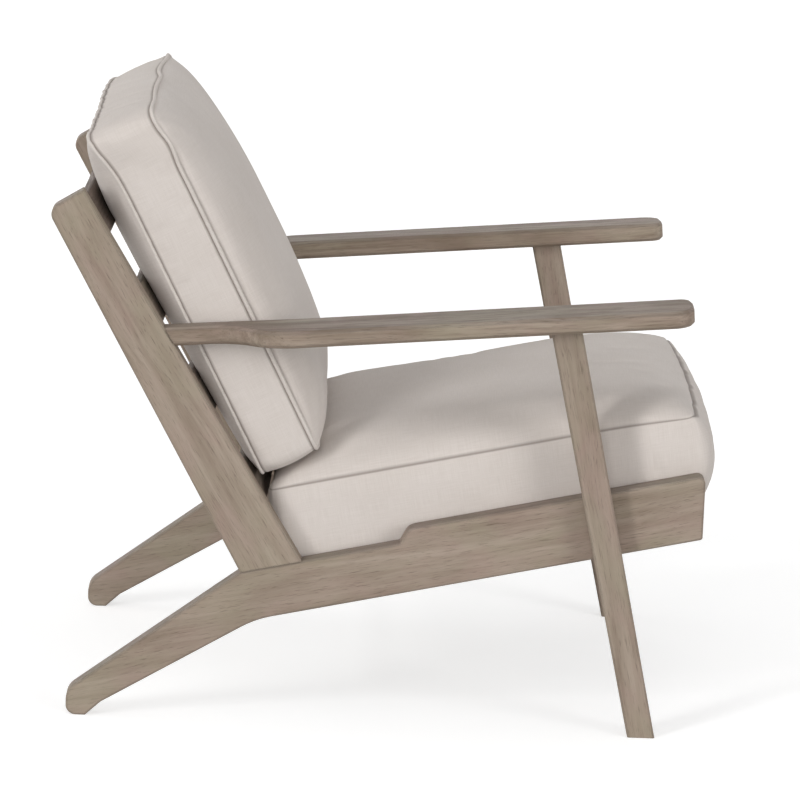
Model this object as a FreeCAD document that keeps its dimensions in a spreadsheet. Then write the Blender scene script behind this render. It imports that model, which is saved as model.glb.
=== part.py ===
import FreeCAD, Part
import math
import os

import Sketcher

# Open wooden lounge chair with a loose seat cushion and a loose back cushion.
#
# The chair faces -Y, +X is across it and +Z is up. The origin is on the floor, in the middle of the
# width and the depth. Each side is drawn as a flat figure in "forward" (from the heel of the back
# leg towards the front) and "height" (above the floor); forward runs against Y.

os.makedirs("parts", exist_ok=True)
document = FreeCAD.newDocument("LoungeChair")

# Driving dimensions, in millimetres and degrees.
SIZES = [
    ("origin_forward", 429.5, "from the heel to the middle of the whole depth"),
    ("inner_width", 528, "between the two side rails"),
    ("board_thickness", 28, "side rails, back legs and back posts"),
    ("edge_break", 2, "chamfer along the edges of the boards"),
    ("fit_clearance", 0.1, "around a bolt or a tenon, each side"),
    ("hole_spare", 1, "room left at the blind end of a hole or mortise"),
    ("soft_clearance", 0.4, "between a cushion and the wood under or behind it"),
    # Side rails, each cut from one board with its back leg
    ("seat_tilt", 12.3, "rise of the seat towards the front"),
    ("knee_forward", 259.5, "where the back leg leaves the rail, on the underside"),
    ("knee_height", 145, "the same corner above the floor"),
    ("knee_radius", 140, "sweep of that corner"),
    ("rail_length", 626, "along the underside, from the knee"),
    ("rail_height", 89, "square to the underside"),
    ("rail_step", 19, "how much lower the rail is behind the step"),
    ("step_place", 215.5, "foot of the step, along the rail from the knee"),
    ("step_slope", 50, "steepness of the step"),
    ("step_round", 20, "rounded top of the step"),
    ("step_hollow", 5, "hollow at the foot of the step"),
    ("rail_nose_round", 10, "upper front corner of the rail"),
    ("rail_toe_round", 4, "lower front corner of the rail"),
    ("leg_under_slope", 18.4, "underside of the back leg, against the rail"),
    ("leg_over_slope", 24.4, "upper side of the back leg, against the rail"),
    ("heel_flat", 27, "front end of the flat that stands on the floor"),
    ("heel_flare", 21, "where the heel runs into the underside of the leg"),
    ("heel_round", 14, "rounding behind the flat"),
    ("heel_crown", 26, "rounding of the upper corner of the heel"),
    # Back posts
    ("post_foot_place", 77.8, "front of the post's foot, along the rail from the knee"),
    ("post_foot", 86.3, "length of the post's foot on the rail"),
    ("post_lean", 31.4, "lean of the post's front edge from upright"),
    ("post_length", 596, "along the front edge"),
    ("post_taper", 2.6, "angle between the front and rear edges"),
    ("post_round", 16, "upper rear corner"),
    ("post_tenon_run", 46, "tenon under the post, along the rail"),
    ("post_tenon_length", 25, "of that tenon, into the rail"),
    ("post_tenon_thickness", 10, "of that tenon"),
    # Front legs
    ("leg_thickness", 28, "across the chair"),
    ("leg_place", 797.5, "middle of the foot, forward of the heel"),
    ("leg_lean", 12.6, "lean of the leg from upright"),
    ("leg_foot_width", 37, "at the floor"),
    ("leg_head_width", 41.5, "under the armrest"),
    ("leg_tenon_width", 26, "tenon on top of the leg"),
    ("leg_tenon_length", 14, "of that tenon, into the armrest"),
    ("leg_tenon_thickness", 12, "of that tenon"),
    # Armrests
    ("arm_place", 348, "underside of the armrest, along the post's front edge"),
    ("arm_slope", 4.9, "rise towards the front"),
    ("arm_length", 706, "along the underside"),
    ("arm_width", 75, "in front of the flare"),
    ("arm_thickness", 27, "at the inner edge"),
    ("arm_fall", 3.5, "how much thinner the outer edge is"),
    ("arm_shift", 9, "inner edge outside the post's inner face"),
    ("arm_neck", 42, "straight part next to the post"),
    ("arm_flare", 125, "length of the curve that widens the armrest"),
    ("arm_inner_round", 18, "front inner corner, from above"),
    ("arm_outer_round", 30, "front outer corner, from above"),
    ("arm_edge", 4, "chamfer along the edges of the armrest"),
    ("arm_tenon_length", 22, "tenon at the rear of the armrest, into the post"),
    ("arm_tenon_width", 16, "of that tenon"),
    ("arm_tenon_thickness", 11, "of that tenon"),
    # Back slats
    ("slat_count", 4, "slats across the back"),
    ("slat_height", 64, "along the post"),
    ("slat_thickness", 14, "square to the post"),
    ("slat_lowest", 92, "underside of the lowest slat above the post's foot"),
    ("slat_top", 11, "top slat below the end of the post"),
    ("slat_recess", 3, "slat ends behind the post's front edge"),
    ("slat_bow", 9, "how far the middle of a slat stands forward"),
    ("tenon_length", 12, "into the post"),
    ("tenon_height", 48, "of the slat's tenon"),
    ("tenon_thickness", 8, "of the slat's tenon"),
    # Seat deck
    ("deck_height", 46, "top of the seat slats above the underside of the rail"),
    ("cleat_start", 46, "rear end of the cleats, along the rail"),
    ("cleat_length", 534, "of the cleats"),
    ("cleat_height", 24, "of the cleats"),
    ("cleat_thickness", 20, "of the cleats"),
    ("deck_slat_count", 5, "slats under the seat cushion"),
    ("deck_slat_first", 65, "rear edge of the first slat, along the rail"),
    ("deck_slat_pitch", 114, "from one seat slat to the next"),
    ("deck_slat_width", 58, "of a seat slat"),
    ("deck_slat_thickness", 14, "of a seat slat"),
    ("deck_side_gap", 1, "between a seat slat's end and the rail"),
    ("deck_slat_break", 1.5, "chamfer along the seat slats"),
    ("cross_rail_thickness", 22, "front and rear cross rails"),
    ("front_rail_place", 590, "rear face of the front cross rail, along the rail"),
    ("front_rail_drop", 44, "height of the front cross rail"),
    ("rear_rail_place", 16, "rear face of the rear cross rail, along the rail"),
    ("rear_rail_base", 6, "underside of the rear cross rail above that of the side rail"),
    ("rear_rail_rise", 58, "height of the rear cross rail"),
    ("rail_tenon_length", 14, "tenons of the cross rails, into the side rails"),
    ("rail_tenon_shoulder", 6, "around the tenons of the cross rails"),
    # Bolts
    ("bolt_diameter", 6, "front leg bolts"),
    ("bolt_length", 40, "under the head"),
    ("bolt_low", 51, "lower bolt above the underside of the rail"),
    ("bolt_spacing", 23, "between the two bolts of a leg"),
    ("bolt_head_diameter", 11, "button head"),
    ("bolt_head_height", 3.3, "button head"),
    ("bolt_socket", 4, "across the flats of the hexagon socket"),
    ("bolt_socket_depth", 2, "hexagon socket"),
    ("washer_diameter", 14, "under the bolt heads"),
    ("washer_thickness", 1.6, "under the bolt heads"),
    ("counterbore_depth", 7, "hides the bolt head inside the rail"),
    ("insert_diameter", 10, "threaded sleeve in the leg"),
    ("insert_length", 14, "threaded sleeve in the leg"),
    # Seat cushion
    ("cushion_side_gap", 6, "from the seams of both cushions to the side rails"),
    ("wadding", 3, "least thickness of fabric and wadding around the foam"),
    ("core_clearance", 0.3, "between the foam and its cover"),
    ("belly", 5, "how far the boxing swells between its seams"),
    ("end_inset", 24, "flat middle of the boxing at the sides, in from the seams"),
    ("crown_run", 150, "how far in from the side seams the wide crowns reach their full rise"),
    ("seat_rear", 56, "rear seam of the seat cushion, along the rail"),
    ("seat_depth", 591, "seam to seam at the sides"),
    ("seat_boxing", 119, "height of the boxing"),
    ("seat_front_bow", 8, "how far the front seam stands forward in the middle"),
    ("seat_front_swell", 21, "swell of the front boxing"),
    ("seat_front_lean", 12, "lower front seam behind the upper one"),
    ("seat_crown", 56, "rise of the top above its seam"),
    ("seat_front_run", 160, "from the front seam to the full rise"),
    ("seat_rear_run", 128, "from the rear seam to the full rise"),
    # Back cushion
    ("back_lean", 27, "lean of the back cushion from upright"),
    ("back_stand_off", 10, "lower rear seam in front of the posts"),
    ("back_base", 126, "lower rear seam, along the post's front edge"),
    ("back_height", 523, "seam to seam at the sides"),
    ("back_boxing", 82, "width of the boxing"),
    ("back_top_bow", 20, "how far the upper seams stand up in the middle"),
    ("back_crown", 63, "swell of the front above its seam"),
    ("back_low_run", 180, "from the lower front seam to the full swell"),
    ("back_high_run", 100, "from the upper front seam to the full swell"),
    ("back_rear_low_crown", 9.5, "swell of the rear above its seam, at the lower end"),
    ("back_rear_low_run", 100, "from the lower rear seam to that swell"),
    ("back_rear_high_crown", 37.8, "swell of the rear above its seam, at the upper end"),
    ("back_rear_high_run", 95, "from the upper rear seam to that swell"),
    ("back_rear_side_run", 52, "how far in from the side seams the rear reaches its full swell"),
]

sheet = document.addObject("Spreadsheet::Sheet", "Sizes")
for row, (alias, number, note) in enumerate(SIZES, start=1):
    sheet.set(f"A{row}", alias)
    sheet.set(f"B{row}", str(number))
    sheet.set(f"C{row}", note)
    sheet.setAlias(f"B{row}", alias)
document.recompute()


class Names:
    """Gives each size of the sheet as an expression, as in at.rail_height."""

    def __getattr__(self, alias):
        if alias not in {name for name, number, note in SIZES}:
            raise AttributeError(alias)
        return f"Sizes.{alias}"


at = Names()


def value(expression):
    """The number that an expression stands for now."""
    return float(sheet.evalExpression(str(expression)))


# Points of the side figure. A frame is (forward, height, angle): its origin and how far its own
# forward axis points up. A point of a frame is given along that axis and square to it.

def point(frame, along, square):
    """Forward and height, from the heel and the floor, of a point given in a frame."""
    forward, height, angle = frame
    return (
        f"({forward} + ({along}) * cos({angle}) - ({square}) * sin({angle}))",
        f"({height} + ({along}) * sin({angle}) + ({square}) * cos({angle}))",
    )


def seen_from(frame, place):
    """The same point the other way round: forward and height turned into a frame's own axes."""
    forward, height, angle = frame
    run = f"({place[0]} - {forward})"
    rise = f"({place[1]} - {height})"
    return (
        f"({run} * cos({angle}) + {rise} * sin({angle}))",
        f"({rise} * cos({angle}) - {run} * sin({angle}))",
    )


HALF_WIDTH = f"({at.inner_width} / 2)"
CUSHION_HALF_WIDTH = f"({HALF_WIDTH} - {at.cushion_side_gap})"
OUTSIDE = f"({HALF_WIDTH} + {at.board_thickness})"
RAIL_REAR_HEIGHT = f"({at.rail_height} - {at.rail_step})"

FLOOR = ("0", "0", "0")
SEAT = (at.knee_forward, at.knee_height, at.seat_tilt)
POST = point(SEAT, at.post_foot_place, RAIL_REAR_HEIGHT) + (at.post_lean,)
ARM = point(POST, "0", at.arm_place) + (at.arm_slope,)
LEG = (at.leg_place, "0", at.leg_lean)
CUSHION = point(POST, at.back_stand_off, at.back_base) + (at.back_lean,)

# The leg's axis meets the underside of the armrest this far above the foot.
LEG_HEIGHT = (
    f"(({ARM[1]} + ({at.leg_place} - {ARM[0]}) * tan({at.arm_slope}))"
    f" / (cos({at.leg_lean}) + sin({at.leg_lean}) * tan({at.arm_slope})))"
)


def on_leg(rail_level):
    """Distance up the leg's axis to a level given above the underside of the rail."""
    offset = (
        f"(({at.leg_place} - {at.knee_forward}) * sin({at.seat_tilt})"
        f" + {at.knee_height} * cos({at.seat_tilt}))"
    )
    return f"(({rail_level} + {offset}) / cos({at.leg_lean} - {at.seat_tilt}))"


def placed(across, place, angle):
    """Placement of a piece drawn as (sideways, forward, up), turned to face -Y and tipped back."""
    return (
        f"placement(vector({across}; {at.origin_forward} - {place[0]}; {place[1]});"
        f" rotation(vector(0; 0; 1); 180) * rotation(vector(1; 0; 0); {angle}))"
    )


def placed_across(across, place, side):
    """Placement of a round piece whose own upright axis points sideways, away from the middle."""
    return (
        f"placement(vector({across}; {at.origin_forward} - {place[0]}; {place[1]});"
        f" rotation(vector(0; 1; 0); {90 * side}))"
    )


# Bodies, sketches and features

def new_body(label, across, frame):
    body = document.addObject("PartDesign::Body", label)
    body.Label = label
    body.setExpression("Placement", placed(across, frame[:2], frame[2]))
    return body


def new_sketch(body, name, plane, offset="0"):
    """An empty sketch on one of the body's own planes, moved along the plane's normal."""
    sketch = body.newObject("Sketcher::SketchObject", name)
    origin_plane = [item for item in body.Origin.OriginFeatures if item.Role == plane + "_Plane"]
    sketch.AttachmentSupport = [(origin_plane[0], "")]
    sketch.MapMode = "FlatFace"
    sketch.setExpression(
        "AttachmentOffset", f"placement(vector(0; 0; {offset}); rotation(vector(0; 0; 1); 0))")
    return sketch


def bind(sketch, constraint, expression):
    """Add a constraint whose size is an expression."""
    index = sketch.addConstraint(constraint)
    sketch.setExpression(f"Constraints[{index}]", str(expression))


def arc_between(start, end, radius, turn):
    """Arc from start to end; turn is 1 where it turns left on the way and -1 where it turns right."""
    run = end - start
    middle = (start + end) / 2
    to_centre = FreeCAD.Vector(-run.y, run.x, 0).normalize() * turn
    centre = middle + to_centre * math.sqrt(radius ** 2 - (run.Length / 2) ** 2)
    circle = Part.Circle(centre, FreeCAD.Vector(0, 0, 1), radius)
    first, last = (start, end) if turn > 0 else (end, start)
    return Part.ArcOfCircle(circle, circle.parameter(first), circle.parameter(last))


def draw(sketch, corners, arcs=None):
    """A closed outline through the corners, each bound to its two expressions.

    arcs holds the edges that are not straight, as {edge number: (radius, turn)}.
    """
    arcs = arcs or {}
    places = [FreeCAD.Vector(value(x), value(y), 0) for x, y in corners]
    first = sketch.GeometryCount
    count = len(corners)
    start_of = {}
    end_of = {}
    for number in range(count):
        start = places[number]
        end = places[(number + 1) % count]
        if number in arcs:
            radius, turn = arcs[number]
            sketch.addGeometry(arc_between(start, end, value(radius), turn), False)
            start_of[number], end_of[number] = (1, 2) if turn > 0 else (2, 1)
        else:
            sketch.addGeometry(Part.LineSegment(start, end), False)
            start_of[number], end_of[number] = 1, 2
    for number in range(count):
        following = (number + 1) % count
        sketch.addConstraint(Sketcher.Constraint(
            "Coincident", first + number, end_of[number], first + following, start_of[following]))
    for number, (x, y) in enumerate(corners):
        edge = first + number
        spot = start_of[number]
        bind(sketch, Sketcher.Constraint("DistanceX", -1, 1, edge, spot, places[number].x), x)
        bind(sketch, Sketcher.Constraint("DistanceY", -1, 1, edge, spot, places[number].y), y)
    for number, (radius, turn) in arcs.items():
        bind(sketch, Sketcher.Constraint("Radius", first + number, value(radius)), radius)
    return sketch


def rectangle(sketch, low_x, low_y, high_x, high_y):
    return draw(sketch, [(low_x, low_y), (high_x, low_y), (high_x, high_y), (low_x, high_y)])


def circles(sketch, centres, diameter):
    """Equal circles at the given places."""
    for x, y in centres:
        centre = FreeCAD.Vector(value(x), value(y), 0)
        edge = sketch.addGeometry(
            Part.Circle(centre, FreeCAD.Vector(0, 0, 1), value(diameter) / 2), False)
        bind(sketch, Sketcher.Constraint("DistanceX", -1, 1, edge, 3, centre.x), x)
        bind(sketch, Sketcher.Constraint("DistanceY", -1, 1, edge, 3, centre.y), y)
        bind(sketch, Sketcher.Constraint("Radius", edge, value(diameter) / 2), f"{diameter} / 2")
    return sketch


def pad(body, name, sketch, length):
    feature = body.newObject("PartDesign::Pad", name)
    feature.Profile = sketch
    feature.setExpression("Length", str(length))
    document.recompute()
    return feature


def pocket(body, name, sketch, depth, forwards=False):
    """Cut into the solid from the sketch; forwards cuts along the sketch's normal."""
    before = body.Shape.Volume
    feature = body.newObject("PartDesign::Pocket", name)
    feature.Profile = sketch
    feature.Reversed = forwards
    feature.setExpression("Length", str(depth))
    document.recompute()
    if body.Shape.Volume >= before - 0.1:
        raise RuntimeError(f"{body.Label}: {name} cuts nothing")
    return feature


def side_bores(body, name, side, thickness, centres, diameter, depth):
    """Holes square to a side board, drilled from the face that looks at the middle of the chair."""
    inner_face = thickness if side > 0 else "0"
    wide = f"({diameter} + 2 * {at.fit_clearance})"
    sketch = circles(new_sketch(body, name + "Sketch", "YZ", inner_face), centres, wide)
    return pocket(body, name, sketch, depth, forwards=side < 0)


def tenon(body, name, middle, thickness, corners):
    """A tenon seen from the side as a four-cornered figure, centred at a place across."""
    sketch = draw(new_sketch(body, name + "Sketch", "YZ", f"{middle} - {thickness} / 2"), corners)
    return pad(body, name, sketch, thickness)


def mortise(body, name, middle, thickness, corners):
    """The slot for a tenon; its corners already include the clearance."""
    spare = at.fit_clearance
    offset = f"{middle} + {thickness} / 2 + {spare}"
    sketch = draw(new_sketch(body, name + "Sketch", "YZ", offset), corners)
    return pocket(body, name, sketch, f"{thickness} + 2 * {spare}")


def box_corners(frame, own, low_along, low_square, high_along, high_square):
    """Corners of an upright figure given in one frame, as a body of another frame sees them."""
    pairs = [(low_along, low_square), (high_along, low_square), (high_along, high_square),
             (low_along, high_square)]
    return [seen_from(own, point(frame, *pair)) for pair in pairs]


def soften(body, name, kind, size, chosen):
    """Fillet or Chamfer on the edges of the body's last feature for which chosen(edge) holds."""
    base = body.Tip
    names = [f"Edge{n}" for n, edge in enumerate(base.Shape.Edges, start=1) if chosen(edge)]
    if not names:
        raise RuntimeError(f"{body.Label}: {name} finds no edge")
    feature = body.newObject("PartDesign::" + kind, name)
    feature.Base = (base, names)
    feature.setExpression("Radius" if kind == "Fillet" else "Size", str(size))
    document.recompute()
    return feature


def across_at(x, y, axis):
    """Chooses straight edges along one axis ("x" or "z") that pass through a place."""
    spot = (value(x), value(y))

    def chosen(edge):
        if edge.Curve.TypeId != "Part::GeomLine":
            return False
        middle = edge.CenterOfMass
        box = edge.BoundBox
        if axis == "x":
            lies_so = box.YLength < 0.01 and box.ZLength < 0.01
            seen = (middle.y, middle.z)
        else:
            lies_so = box.XLength < 0.01 and box.YLength < 0.01
            seen = (middle.x, middle.y)
        return lies_so and math.dist(seen, spot) < 0.05
    return chosen


def on_faces(axis, *levels):
    """Chooses the edges that lie wholly in a plane square to an axis, at one of the levels."""
    low, high = {"x": ("XMin", "XMax"), "y": ("YMin", "YMax"), "z": ("ZMin", "ZMax")}[axis]
    numbers = [value(level) for level in levels]

    def chosen(edge):
        box = edge.BoundBox
        return any(
            abs(getattr(box, low) - number) < 0.01 and abs(getattr(box, high) - number) < 0.01
            for number in numbers)
    return chosen


def side_name(side):
    return "left" if side > 0 else "right"


def inward_start(side, outer, thickness):
    """Sideways place where a board's own zero lies, so that it fills the thickness inside outer."""
    return outer if side > 0 else f"({thickness} - {outer})"


# Round pieces: bolts, washers and threaded sleeves

def cylinder(name, diameter, length, placement):
    piece = document.addObject("Part::Cylinder", name)
    piece.setExpression("Radius", f"{diameter} / 2")
    piece.setExpression("Height", str(length))
    piece.setExpression("Placement", placement)
    return piece


def group(label, pieces):
    """Separate equal solids that share one node."""
    compound = document.addObject("Part::Compound", label)
    compound.Links = pieces
    compound.Label = label
    return compound


def join(name, kind, pieces):
    """A boolean of Part primitives: kind is Cut or MultiFuse."""
    result = document.addObject("Part::" + kind, name)
    if kind == "Cut":
        result.Base, result.Tool = pieces
    else:
        result.Shapes = pieces
    return result


def side_cylinder(name, across, place, side, diameter, length):
    """A cylinder that runs outwards from a place, square to the side of the chair."""
    return cylinder(name, diameter, length, placed_across(across, place, side))


sub_parts = []

# Where the leg bolts, the cleats, the seat slats and the cross rails lie on the side rail

LEG_BOLT_LEVELS = [at.bolt_low, f"({at.bolt_low} + {at.bolt_spacing})"]
LEG_BOLT_PLACES = [point(LEG, "0", on_leg(level)) for level in LEG_BOLT_LEVELS]

CLEAT_BASE = f"({at.deck_height} - {at.deck_slat_thickness} - {at.cleat_height})"
DECK_SLATS = range(round(value(at.deck_slat_count)))
BACK_SLATS = range(round(value(at.slat_count)))

# Cross rails: rear face along the side rail, underside, height and upper side of the tenons.
# The rear tenons stay below the mortise of the post.
FRONT_RAIL = (
    at.front_rail_place, f"({at.deck_height} - {at.front_rail_drop})", at.front_rail_drop,
    f"({at.deck_height} - {at.rail_tenon_shoulder})")
REAR_RAIL = (
    at.rear_rail_place, at.rear_rail_base, at.rear_rail_rise,
    f"({RAIL_REAR_HEIGHT} - {at.post_tenon_length} - {at.hole_spare}"
    f" - {at.rail_tenon_shoulder})")

POST_TENON_FRONT = f"({at.post_foot_place} - {at.post_foot} / 2 + {at.post_tenon_run} / 2)"
POST_TENON_REAR = f"({POST_TENON_FRONT} - {at.post_tenon_run})"
ARM_TENON_LOW = f"({at.arm_thickness} / 2 - {at.arm_tenon_thickness} / 2)"
ARM_TENON_HIGH = f"({ARM_TENON_LOW} + {at.arm_tenon_thickness})"
BOARD_MIDDLE = f"({HALF_WIDTH} + {at.board_thickness} / 2)"


def rail_tenon_sides(rail):
    """Low and high limits of a cross rail's tenon along and above the side rail."""
    start, base, _, tenon_top = rail
    shoulder = at.rail_tenon_shoulder
    return (f"({start} + {shoulder})", f"({base} + {shoulder})",
            f"({start} + {at.cross_rail_thickness} - {shoulder})", tenon_top)


def make_side_rail(side):
    """Side rail and back leg, cut from one board."""
    body = new_body(
        "side_rail_" + side_name(side), inward_start(side, OUTSIDE, at.board_thickness), FLOOR)
    under = f"({at.seat_tilt} + {at.leg_under_slope})"
    over = f"({at.seat_tilt} + {at.leg_over_slope})"
    heel_end = f"({at.heel_flat} + {at.heel_flare})"
    heel_rise = f"({at.knee_height} - ({at.knee_forward} - {heel_end}) * tan({under}))"
    front_low = point(SEAT, at.rail_length, "0")
    step_run = f"({at.step_place} + {at.rail_step} / tan({at.step_slope}))"
    step_top = point(SEAT, step_run, at.rail_height)
    step_foot = point(SEAT, at.step_place, RAIL_REAR_HEIGHT)
    crook = point(SEAT, f"({at.post_foot_place} - {at.post_foot})", RAIL_REAR_HEIGHT)
    knee = (at.knee_forward, at.knee_height)
    front_high = (front_low[0], f"({front_low[1]} + {at.rail_height} / cos({at.seat_tilt}))")
    heel_top = ("0", f"({crook[1]} - {crook[0]} * tan({over}))")
    outline = [
        ("0", "0"), (at.heel_flat, "0"), (heel_end, heel_rise), knee, front_low, front_high,
        step_top, step_foot, crook, heel_top,
    ]
    pad(body, "Board", draw(new_sketch(body, "Outline", "YZ"), outline), at.board_thickness)
    for name, corner, radius in [
        ("Knee", knee, at.knee_radius), ("HeelCrown", heel_top, at.heel_crown),
        ("Heel", ("0", "0"), at.heel_round), ("Nose", front_high, at.rail_nose_round),
        ("Toe", front_low, at.rail_toe_round), ("StepTop", step_top, at.step_round),
        ("StepFoot", step_foot, at.step_hollow),
    ]:
        soften(body, name, "Fillet", radius, across_at(*corner, "x"))
    soften(body, "Edges", "Chamfer", at.edge_break, on_faces("x", "0", at.board_thickness))

    # Mortises for the post, from above, and for the cross rails, from the inner face
    thickness = at.board_thickness
    spare = at.fit_clearance
    mortise(body, "PostMortise", f"{thickness} / 2", at.post_tenon_thickness, box_corners(
        SEAT, FLOOR, f"({POST_TENON_REAR} - {spare})",
        f"({RAIL_REAR_HEIGHT} - {at.post_tenon_length} - {at.hole_spare})",
        f"({POST_TENON_FRONT} + {spare})", f"({RAIL_REAR_HEIGHT} + {at.post_tenon_thickness})"))
    for name, rail in (("Front", FRONT_RAIL), ("Rear", REAR_RAIL)):
        low_along, low_square, high_along, high_square = rail_tenon_sides(rail)
        corners = box_corners(
            SEAT, FLOOR, f"({low_along} - {spare})", f"({low_square} - {spare})",
            f"({high_along} + {spare})", f"({high_square} + {spare})")
        inner_face = thickness if side > 0 else "0"
        sketch = draw(new_sketch(body, name + "MortiseSketch", "YZ", inner_face), corners)
        pocket(body, name + "Mortise", sketch, f"{at.rail_tenon_length} + {at.hole_spare}",
               forwards=side < 0)
    side_bores(body, "BoltHoles", side, thickness, LEG_BOLT_PLACES, at.bolt_diameter,
               f"{thickness} + {at.hole_spare}")
    side_bores(body, "BoltHeads", side, thickness, LEG_BOLT_PLACES, at.washer_diameter,
               at.counterbore_depth)
    return body


SLAT_TOP_BASE = f"({at.post_length} - {at.slat_top} - {at.slat_height})"
SLAT_PITCH = f"(({SLAT_TOP_BASE} - {at.slat_lowest}) / ({at.slat_count} - 1))"


def slat_base(number):
    """Lower edge of a back slat along the post; number 0 is the top slat."""
    return f"({SLAT_TOP_BASE} - {number} * {SLAT_PITCH})"


SLAT_MIDDLE = f"({at.slat_recess} + {at.slat_thickness} / 2)"


def make_back_post(side):
    """Tapered post that stands on the rear of the side rail and leans back."""
    body = new_body(
        "back_post_" + side_name(side), inward_start(side, OUTSIDE, at.board_thickness), POST)
    turn = f"({at.post_lean} - {at.seat_tilt})"
    foot = (f"(-{at.post_foot} * cos({turn}))", f"({at.post_foot} * sin({turn}))")
    head = (
        f"({foot[0]} + ({at.post_length} - {foot[1]}) * tan({at.post_taper}))", at.post_length)
    outline = [("0", "0"), ("0", at.post_length), head, foot]
    pad(body, "Board", draw(new_sketch(body, "Outline", "YZ"), outline), at.board_thickness)
    soften(body, "Head", "Fillet", at.post_round, across_at(*head, "x"))
    foot_middle = (value(foot[0]) / 2, value(foot[1]) / 2)
    faces = on_faces("x", "0", at.board_thickness)

    def off_the_foot(edge):
        middle = edge.CenterOfMass
        return faces(edge) and math.dist((middle.y, middle.z), foot_middle) > 0.05
    soften(body, "Edges", "Chamfer", at.edge_break, off_the_foot)

    # Mortises for the slats
    inner_face = at.board_thickness if side > 0 else "0"
    sketch = new_sketch(body, "Mortises", "YZ", inner_face)
    for number in BACK_SLATS:
        low = f"({slat_base(number)} + {at.slat_height} / 2 - {at.tenon_height} / 2)"
        rectangle(
            sketch,
            f"(-{SLAT_MIDDLE} - {at.tenon_thickness} / 2 - {at.fit_clearance})",
            f"({low} - {at.fit_clearance})",
            f"(-{SLAT_MIDDLE} + {at.tenon_thickness} / 2 + {at.fit_clearance})",
            f"({low} + {at.tenon_height} + {at.fit_clearance})")
    pocket(body, "Mortise", sketch, f"{at.tenon_length} + {at.hole_spare}", forwards=side < 0)

    # Mortise for the armrest in front and tenon into the rail below
    middle = f"{at.board_thickness} / 2"
    spare = at.fit_clearance
    mortise(body, "ArmMortise", middle, at.arm_tenon_width, box_corners(
        ARM, POST, f"(-{at.arm_tenon_length} - {at.arm_tenon_thickness} - {at.hole_spare})",
        f"({ARM_TENON_LOW} - {spare})", at.arm_tenon_thickness, f"({ARM_TENON_HIGH} + {spare})"))
    tenon(body, "Tenon", middle, at.post_tenon_thickness, box_corners(
        SEAT, POST, POST_TENON_REAR, f"({RAIL_REAR_HEIGHT} - {at.post_tenon_length})",
        POST_TENON_FRONT, f"({RAIL_REAR_HEIGHT} + {at.hole_spare})"))
    return body


def make_front_leg(side):
    """Tapered leg outside the rail, from the floor to the armrest."""
    thickness = at.leg_thickness
    outer = f"({OUTSIDE} + {thickness})"
    body = new_body("front_leg_" + side_name(side), inward_start(side, outer, thickness), LEG)
    foot = f"({at.leg_foot_width} / 2)"
    head = f"({at.leg_head_width} / 2)"
    head_slope = f"tan({at.leg_lean} - {at.arm_slope})"
    outline = [
        (f"(-{foot})", f"({foot} * tan({at.leg_lean}))"),
        (foot, f"(-{foot} * tan({at.leg_lean}))"),
        (head, f"({LEG_HEIGHT} - {head} * {head_slope})"),
        (f"(-{head})", f"({LEG_HEIGHT} + {head} * {head_slope})"),
    ]
    pad(body, "Board", draw(new_sketch(body, "Outline", "YZ"), outline), thickness)

    def long_edge(edge):
        return edge.BoundBox.ZLength > value(LEG_HEIGHT) / 2
    soften(body, "Edges", "Chamfer", at.edge_break, long_edge)
    inner_bolts = [seen_from(LEG, place) for place in LEG_BOLT_PLACES]
    tip = (f"({at.counterbore_depth} + {at.bolt_length} - {at.washer_thickness}"
           f" - {at.board_thickness} + {at.hole_spare})")
    side_bores(body, "BoltHoles", side, thickness, inner_bolts, at.bolt_diameter, tip)
    side_bores(body, "Sleeves", side, thickness, inner_bolts, at.insert_diameter,
               f"{at.insert_length}")
    half = f"({at.leg_tenon_width} / 2)"
    tenon(body, "Tenon", f"{thickness} / 2", at.leg_tenon_thickness, [
        (f"(-{half})", f"({LEG_HEIGHT} - {half})"), (half, f"({LEG_HEIGHT} - {half})"),
        (half, f"({LEG_HEIGHT} + {at.leg_tenon_length})"),
        (f"(-{half})", f"({LEG_HEIGHT} + {at.leg_tenon_length})")])
    return body


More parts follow.
